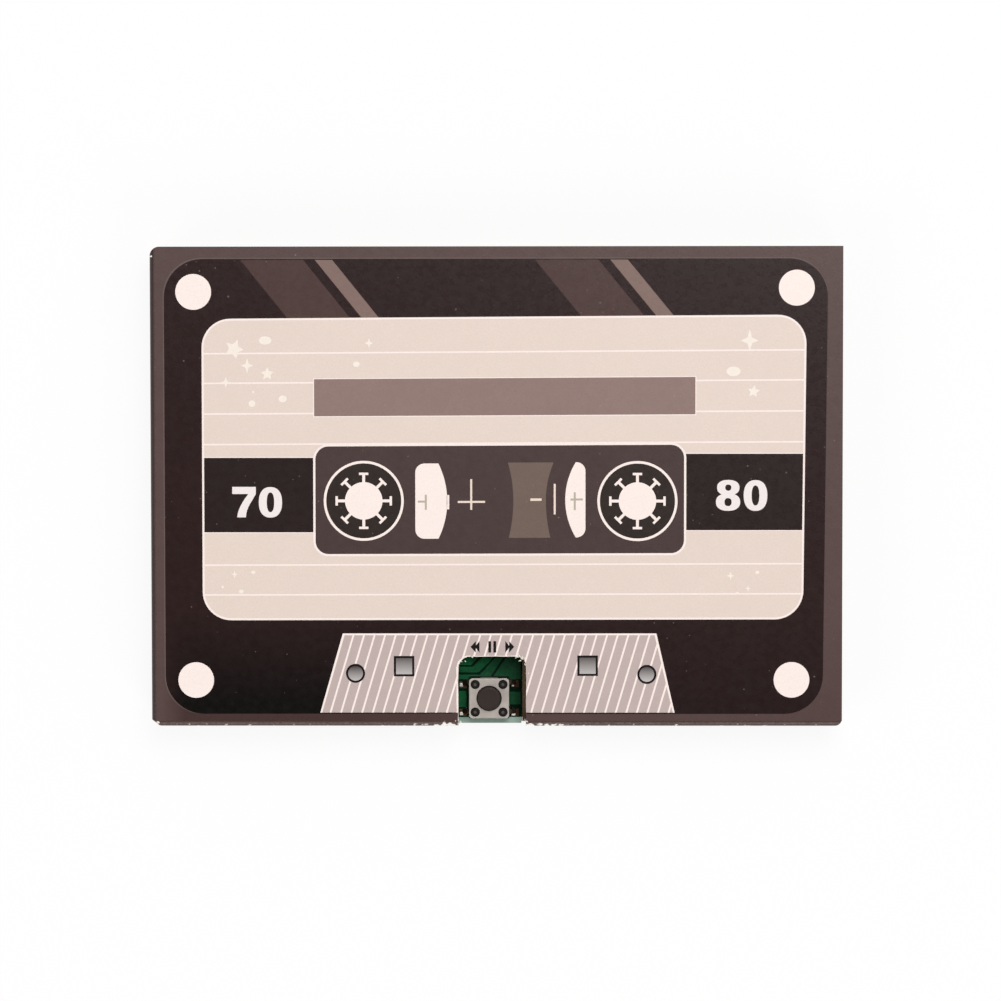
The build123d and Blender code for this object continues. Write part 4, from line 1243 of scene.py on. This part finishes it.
def frame_line():
    """Keeps only a thin line along the outline of the flat piece being edited."""
    select_all("FACE")
    bpy.ops.mesh.inset(thickness=LINER_LINE * MM)
    bpy.ops.mesh.delete(type="FACE")
    thicken(LINER_INK)
    return settle()


dress(paper("liner_cream", LINER_CREAM, 0.75), "inner_liner")
low, high = box_of("inner_liner")
ink_top = low.z + LINER_INK / 2
start_plane(low.x + LINER_INSET, high.x - LINER_INSET, low.y + LINER_INSET, high.y - LINER_INSET, ink_top)
bevel(LINER_CORNER, 10, "VERTICES")
outlines = [frame_line()]
for x, y, radius in LINER_RINGS:
    start_disc(x, y, radius, ink_top, 96)
    outlines.append(frame_line())
liner_brown = ink("liner_brown", RULING_BROWN, 0.05, 0.6)
install(join_as("liner_frames", outlines), [liner_brown], "front_leaf")

# The boards that fill the leaf: a thick brown one with room for the module, whose
# edge shows in the notch, and a thin grey one under the circuit board.
# Both are pressed fibre in flat layers, glued to the sheet.

BOARD_BROWN = tone(66, 54, 40)
BOARD_GREY = tone(150, 142, 132)


def pressed_board(name, colour):
    """Coarse board: flat layers of fibre with pale and dark flecks."""
    finish = Finish(name)
    layers, specks = (1, 1, 9), (1, 1, 2)
    shade = finish.cloudy(colour, 0.7, 1.15, 420, 4, layers, (0.35, 0.65))
    flecks = finish.ranged(finish.grain(2400, 2, specks), 0.0, 1.0, 0.62, 0.68)
    finish.surface(finish.blended(flecks, shade, scaled(colour, 1.7)), 0.95, 0.15)
    finish.relief(0.12, finish.grain(420, 4, layers), finish.grain(2400, 4, specks))
    return finish


dress(pressed_board("board_brown", BOARD_BROWN), "spacer_frame")
dress(pressed_board("board_grey", BOARD_GREY), "base_board")

# The circuit board: glass fibre with a dark green mask over copper. The copper
# areas stand a hair proud and look lighter, with dark gaps between them. A pale teal
# strip along the lower edge is painted light, the white table's glow on the board's
# edge, and brown pads lie round the switch's legs.

BOARD_LOW, BOARD_TOP = ends_of("circuit_board", 2)
COPPER_HEIGHT = 0.035
SUNK = 0.02
AREAS = (
    ((-6.6, -26.97), (-3.9, -26.97), (-1.83, -24.9), (-6.6, -24.9)),
    ((-6.6, -28.08), (-2.72, -28.08), (-1.87, -27.24), (-6.6, -27.24)),
    ((-3.6, -27.24), (-1.87, -27.24), (-0.98, -26.36), (0.2, -24.9), (-1.26, -24.9)),
    ((-6.6, -29.1), (-1.22, -29.1), (-2.52, -28.44), (-6.6, -28.44)),
    ((-2.52, -28.44), (-1.22, -29.1), (1.62, -24.9), (0.62, -24.9)),
    ((-0.78, -29.1), (3.6, -29.1), (3.6, -24.9), (2.05, -24.9)),
    ((2.0, -32.9), (3.6, -32.9), (3.6, -31.0), (2.0, -31.0)),
    ((-6.0, -33.3), (-4.55, -33.3), (-4.55, -30.9), (-6.0, -30.9)),
)
GLOW_LEFT, GLOW_RIGHT = -6.6, 3.7
GLOW_LOW, GLOW_HIGH = -35.7, -34.82
GLOW_SEED = 31
GLOW_FRAY, GLOW_CUTS = 0.06, 20
LEG_PAD_PLACES = ((-5.05, -29.95), (2.72, -29.8), (-5.05, -34.1), (2.72, -34.1))
PAD_HALF = (0.6, 0.52)
PAD_HEIGHT = 0.06
SMALL_ROUND = 0.05
MASK_GREEN = tone(16, 102, 58)
GAP_GREEN = tone(2, 42, 22)
PAINTED_GLOW_TEAL = tone(150, 172, 160)
PAD_BROWN = tone(94, 66, 42)


def masked(name, colour, shine=0.25):
    """Printed solder mask: glossy and cloudy. Painted light: paler to the left, darker to the right,
    and much paler at the notch's upper left, over the shadow of the notch's edge."""
    finish = Finish(name)
    cloud = finish.ranged(finish.grain(700, 3))

    def shade(dark, pale):
        return finish.blended(cloud, scaled(colour, dark), scaled(colour, pale))

    # Painted light: thin pales the mask to the left and darkens it to the right; high and left pale it much
    # more at the notch's upper left.
    thin = finish.ranged(finish.axis("X"), 1.0, 0.0, -5 * MM, 4 * MM)
    high = finish.ranged(finish.axis("Y"), 0.0, 1.0, -27.9 * MM, -26.1 * MM)
    left = finish.ranged(finish.axis("X"), 1.0, 0.0, -4.5 * MM, 0)
    even = finish.blended(thin, shade(0.32, 0.46), shade(0.8, 1.22))
    painted_light_colour = finish.blended(finish.times(high, left), even, shade(2.4, 3.1))
    finish.surface(painted_light_colour, finish.ranged(finish.grain(1500, 3), 0.22, 0.38), shine)
    finish.relief(0.02, finish.grain(1900, 3), finish.grain(600, 2))
    return finish


def lay_on_board(name, pieces, finish):
    """Shapes become one piece that lies on the circuit board."""
    install(join_as(name, pieces), [finish], "front_leaf")


def block(x, y, across, along, low, high, rounding, steps):
    """A small block with rounded edges, given by its middle and half its sides."""
    start_box((x - across, y - along, low), (x + across, y + along, high))
    bevel(rounding, steps)
    return settle()


dress(masked("mask_dark", GAP_GREEN, 0.1), "circuit_board")
areas = []
for corners in AREAS:
    cut_shape(corners, BOARD_TOP + COPPER_HEIGHT)
    thicken(COPPER_HEIGHT + SUNK)
    areas.append(settle())
lay_on_board("copper_areas", areas, masked("mask_green", MASK_GREEN))

shaker = random.Random(GLOW_SEED)


def fray(corner):
    """Shifts the points along the strip's upper edge."""
    if abs(corner.co.y / MM - GLOW_HIGH) < NEAR:
        corner.co.y += shaker.uniform(-GLOW_FRAY, GLOW_FRAY) * MM


# A pale teal strip along the board's lower edge: painted light, standing in for the white table's glow on
# that edge.
start_box((GLOW_LEFT, GLOW_LOW, BOARD_LOW + SUNK), (GLOW_RIGHT, GLOW_HIGH, BOARD_TOP + SUNK))
bpy.ops.mesh.subdivide(number_cuts=GLOW_CUTS)
move_points(fray)
lay_on_board("bare_fibre", [settle()], paper("fibre_teal", PAINTED_GLOW_TEAL, 0.55))
heights = (BOARD_TOP - SUNK, BOARD_TOP + PAD_HEIGHT)
pads = [block(*pad, *PAD_HALF, *heights, SMALL_ROUND, 2) for pad in LEG_PAD_PLACES]
lay_on_board("leg_pads", pads, masked("flux_brown", PAD_BROWN))

# The play switch: a black moulded body with four posts, a square tinned plate
# that the posts' melted heads hold down, four bent legs, and a round brown button.

SWITCH_X, SWITCH_Y = (sum(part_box("play_switch_body"), Vector()) / 2 / MM).xy
SWITCH_TOP = ends_of("play_switch_body", 2)[1]
PLATE_LOW, PLATE_TOP = ends_of("play_switch_plate", 2)
PLATE_SHEET = 0.3
PLATE_HALF = 3.0
PLATE_CORNER = 0.5
PLATE_EDGE = 0.11
TAB_HALF = 1.5
POST_PLACE = 2.075
POST_HOLE = 0.7
POST_RADIUS = 0.52
DIMPLE_RADIUS = POST_RADIUS * 0.45
POST_FOOT, POST_HEAD_HEIGHT = -0.3, 0.1
POST_ROUND = 0.06
DIMPLE_FOOT, DIMPLE_HEIGHT = -0.1, 0.14
SNAP_RINGS = 6
BUTTON_HOLE = 1.9
BUTTON_RADIUS = 1.71
BUTTON_FLANGE = 2.1
BUTTON_FLANGE_TOP = 6.35
BUTTON_EDGE = 0.14
BUTTON_STEPS = 4
BUTTON_DISHES = ((0.015, 0.35), (0.02, 0.5))
PLATE_STEEL = tone(188, 178, 170)
DOME_STEEL = tone(196, 192, 184)
SWITCH_BLACK = tone(14, 10, 8)
POST_GREY = tone(80, 70, 65)
BUTTON_BROWN = tone(45, 34, 29)
LEG_TIN_PAINTED_SHADE = tone(74, 62, 50)


def metal(name, colour, rough, scratch=1.0, metallic=1.0):
    """Plated or drawn metal: a cloudy tone, fine drawing lines, uneven gloss."""
    finish = Finish(name)
    gloss = finish.ranged(finish.grain(900, 4), rough - 0.06, rough + 0.1)
    finish.surface(finish.cloudy(colour, 0.86, 1.06, 500, 3), gloss, metallic=metallic)
    finish.relief(0.01 * scratch, finish.grain(2200, 3, (1, 0.08, 1)), finish.grain(1200, 2))
    return finish


def plastic(name, colour, rough, bumps=1.0):
    """Moulded plastic: an even colour with faint flow clouds and a fine spark-eroded skin."""
    finish = Finish(name)
    gloss = finish.ranged(finish.grain(1300, 3), rough - 0.06, rough + 0.08)
    finish.surface(finish.cloudy(colour, 0.88, 1.1, 350, 2), gloss, 0.25)
    finish.relief(0.012 * bumps, finish.grain(5200, 3), finish.grain(800, 2))
    return finish


def ring_outline(x, y, radius, sides):
    """A circle as a convex outline, counter-clockwise."""
    steps = [2 * math.pi * count / sides for count in range(sides)]
    return [(x + radius * math.cos(step), y + radius * math.sin(step)) for step in steps]


def snap_disc(name, node, wall, crown_up=True):
    """The sprung steel disc inside a switch. It flattens against its rim as the button is pressed."""
    low, high = box_of(node)
    x, y = ((low + high) / 2).xy
    radius = (high.x - low.x) / 2

    def crown(corner):
        share = 1 - ((corner.co.x / MM - x) ** 2 + (corner.co.y / MM - y) ** 2) / radius**2
        rise = (high.z - low.z - wall) * share
        corner.co.z = (low.z + wall + rise if crown_up else high.z - rise) * MM

    start_disc(x, y, radius, 0, 48)
    bpy.ops.mesh.select_mode(type="FACE")
    for _ in range(SNAP_RINGS - 1):
        bpy.ops.mesh.inset(thickness=radius / SNAP_RINGS * MM)
    move_points(crown)
    thicken(wall)
    piece = install(settle(name), [dome_steel], "front_leaf", node)
    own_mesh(piece)


def on_upper_rim(place):
    """On the plate's upper outline, and not on one of its holes."""
    across, along = abs(place.x - SWITCH_X), abs(place.y - SWITCH_Y)
    middle = PLATE_HALF - PLATE_CORNER
    on_side = max(across, along) > PLATE_HALF - NEAR
    in_corner = min(across, along) > middle - NEAR
    on_arc = in_corner and math.hypot(across - middle, along - middle) > PLATE_CORNER - 2 * NEAR
    return place.z > PLATE_TOP - NEAR and (on_side or on_arc)


def post_part(x, y, radius, low, high):
    """A disc with rounded edges on one post, between two heights counted from the body's top."""
    start_disc(x, y, radius, SWITCH_TOP + low, 32)
    lift(high - low)
    bevel(POST_ROUND, 3)
    face_out()
    return settle()


switch_black = plastic("switch_black", SWITCH_BLACK, 0.5)
dress(switch_black, "play_switch_body")
# The legs' tin is darkened to a shaded tone: painted shade.
dress(metal("leg_tin", LEG_TIN_PAINTED_SHADE, 0.4, metallic=0.75), "play_switch_legs")
dome_steel = metal("dome_steel", DOME_STEEL, 0.25)
snap_disc("play_snap_disc", "play_switch_dome", 0.1)

posts = [(SWITCH_X + side * POST_PLACE, SWITCH_Y + end * POST_PLACE) for side in (-1, 1) for end in (-1, 1)]
start_plane(*grown((SWITCH_X, SWITCH_X, SWITCH_Y, SWITCH_Y), PLATE_HALF), PLATE_TOP)
bevel(PLATE_CORNER, 5, "VERTICES")
for x, y in posts:
    punch(ring_outline(x, y, POST_HOLE, 20))
punch(ring_outline(SWITCH_X, SWITCH_Y, BUTTON_HOLE, 40))
thicken(PLATE_SHEET)
pick(on_upper_rim, "EDGE")
bevel(PLATE_EDGE, 3)
cover = settle()
for face in cover.data.polygons:
    face.use_smooth = abs(face.normal.z) < 0.99
parts = [cover]
for side in (-1, 1):
    y = SWITCH_Y + side * (PLATE_HALF - PLATE_SHEET / 2)
    reach = Vector((TAB_HALF, PLATE_SHEET / 2, 0))
    tab_top = Vector((SWITCH_X, y, PLATE_TOP - PLATE_SHEET / 2))
    start_box(Vector((SWITCH_X, y, PLATE_LOW)) - reach, tab_top + reach)
    bevel(SMALL_ROUND, 2)
    parts.append(settle())
plate_steel = metal("plate_steel", PLATE_STEEL, 0.42, metallic=0.35)
install(join_as("switch_cover", parts), [plate_steel], "front_leaf", "play_switch_plate")

heads = [post_part(*post, POST_RADIUS, POST_FOOT, POST_HEAD_HEIGHT) for post in posts]
lay_on_board("post_heads", heads, switch_black)
dimples = [post_part(*post, DIMPLE_RADIUS, DIMPLE_FOOT, DIMPLE_HEIGHT) for post in posts]
lay_on_board("post_dimples", dimples, plastic("post_grey", POST_GREY, 0.4))

low, high = box_of("play_button")
middle = Vector((SWITCH_X, SWITCH_Y, 0)) * MM
start_disc(SWITCH_X, SWITCH_Y, BUTTON_FLANGE, low.z, 96)
lift(BUTTON_FLANGE_TOP - low.z)
bpy.ops.mesh.inset(thickness=(BUTTON_FLANGE - BUTTON_RADIUS) * MM)
lift(high.z - BUTTON_EDGE - BUTTON_FLANGE_TOP)
for step in range(1, BUTTON_STEPS + 1):
    last, turn = (math.radians(90 * count / BUTTON_STEPS) for count in (step - 1, step))
    lift(BUTTON_EDGE * (math.sin(turn) - math.sin(last)))
    radii = [BUTTON_RADIUS - BUTTON_EDGE * (1 - math.cos(angle)) for angle in (turn, last)]
    share = radii[0] / radii[1]
    bpy.ops.transform.resize(value=(share, share, 1), center_override=middle)
for drop, width in BUTTON_DISHES:
    bpy.ops.mesh.inset(thickness=width * MM)
    bpy.ops.transform.translate(value=(0, 0, -drop * MM))
face_out()
button = settle("play_button_cap")
bpy.ops.object.shade_smooth_by_angle(angle=math.radians(30))
button_brown = plastic("button_brown", BUTTON_BROWN, 0.5)
install(button, [button_brown], "play_button", "play_button")

# The legs' tinned ends on the pads, near white: a painted highlight where light catches them.

LEG_ENDS = (
    (-5.32, -29.95, 0.26, 0.3),
    (2.42, -29.85, 0.22, 0.34),
    (-5.3, -34.25, 0.28, 0.26),
    (2.5, -34.3, 0.3, 0.24),
)
LEG_END_HEIGHT, LEG_END_ROUND = 0.35, 0.1
TIN_PAINTED_GLINT = tone(250, 244, 232)

ends = [block(*end, BOARD_TOP, BOARD_TOP + LEG_END_HEIGHT, LEG_END_ROUND, 3) for end in LEG_ENDS]
lay_on_board("leg_ends", ends, metal("tin_bright", TIN_PAINTED_GLINT, 0.4, metallic=0.2))

# The record switch under the board: like the play switch but low, with a red-brown
# button that shows in the liner's round hole.

dress(switch_black, "record_switch_body")
dress(metal("record_plate_steel", PLATE_STEEL, 0.38), "record_switch_plate")
dress(plastic("record_red", tone(150, 44, 34), 0.4), "record_button")
snap_disc("record_snap_disc", "record_switch_dome", 0.06, crown_up=False)

# Soldered parts on the board: the chip under its blob of resin, two rows of chip
# parts, a yellow tantalum capacitor, the lamp, and the solder itself.

dress(plastic("resin_black", tone(18, 17, 17), 0.25, 3.0), "sound_chip")
dress(plastic("chip_black", tone(32, 30, 32), 0.5), "chip_resistors")
dress(plastic("chip_tan", tone(164, 128, 92), 0.6), "chip_capacitors")
dress(plastic("tantalum_yellow", tone(214, 152, 40), 0.5), "tantalum_capacitor")
dress(plastic("lamp_red", tone(196, 34, 28), 0.15), "record_lamp")
dress(metal("solder_grey", tone(186, 184, 178), 0.3, 3.0, 0.9), "solder_joints")

# The battery: three button cells in a black frame, joined by tinned strips.

dress(plastic("holder_black", tone(26, 26, 27), 0.5), "battery_holder")
strip_tin = metal("strip_tin", tone(214, 208, 198), 0.3)
dress(strip_tin, "battery_contact_positive", "battery_contact_negative")
dress(strip_tin, "battery_link_bottom", "battery_link_top")
dress(metal("cell_steel", tone(206, 204, 200), 0.22), "button_cell_1", "button_cell_2", "button_cell_3")

# The microphone: an aluminium can crimped over its board, with a disc of black felt.


def fuzzy(name, colour, scale, depth):
    """Felt or foam: matt, with a rough open skin."""
    finish = Finish(name)
    finish.surface(finish.cloudy(colour, 0.6, 1.3, scale, 6, edges=(0.35, 0.65)), 1.0, 0.1)
    finish.relief(depth, finish.grain(scale, 6), finish.grain(scale * 3, 3))
    return finish


dress(metal("capsule_grey", tone(190, 190, 190), 0.35), "microphone_can")
dress(masked("capsule_green", tone(46, 84, 50)), "microphone_board")
dress(fuzzy("felt_black", tone(28, 28, 30), 3000, 0.1), "microphone_felt")

# The speaker: a clear film cone in a plated basket, a copper coil in the gap of a
# magnet between two steel plates, a foam ring glued to the board in front.


def wound_copper(name, colour):
    """Fine enamelled wire, wound in level turns."""
    finish = metal(name, colour, 0.3)
    turns = finish.nodes.new("ShaderNodeTexWave")
    turns.bands_direction = "Z"
    turns.inputs["Scale"].default_value = 1500
    finish.feed(turns.inputs["Vector"], finish.nodes.new("ShaderNodeTexCoord").outputs["Object"])
    finish.relief(0.05, turns.outputs["Fac"], finish.grain(1500, 2))
    return finish


dress(fuzzy("gasket_grey", tone(60, 60, 62), 2200, 0.15), "speaker_gasket")
dress(plastic("film_clear", tone(206, 210, 206), 0.15), "speaker_diaphragm")
dress(metal("basket_steel", tone(176, 176, 174), 0.3), "speaker_basket")
dress(wound_copper("coil_copper", tone(176, 96, 52)), "voice_coil")
dress(metal("yoke_steel", tone(168, 166, 160), 0.32), "speaker_yoke", "speaker_pole_plate")
dress(metal("magnet_grey", tone(72, 72, 76), 0.45, 2.0), "speaker_magnet")
dress(pressed_board("terminal_brown", tone(122, 88, 52)), "speaker_terminals")

# The leads: thin stranded wire in red and black vinyl, soldered at both ends.

dress(plastic("lead_red", tone(178, 30, 26), 0.35), "speaker_lead_red", "microphone_lead_red")
dress(plastic("lead_black", tone(24, 24, 26), 0.35), "speaker_lead_black", "microphone_lead_black")
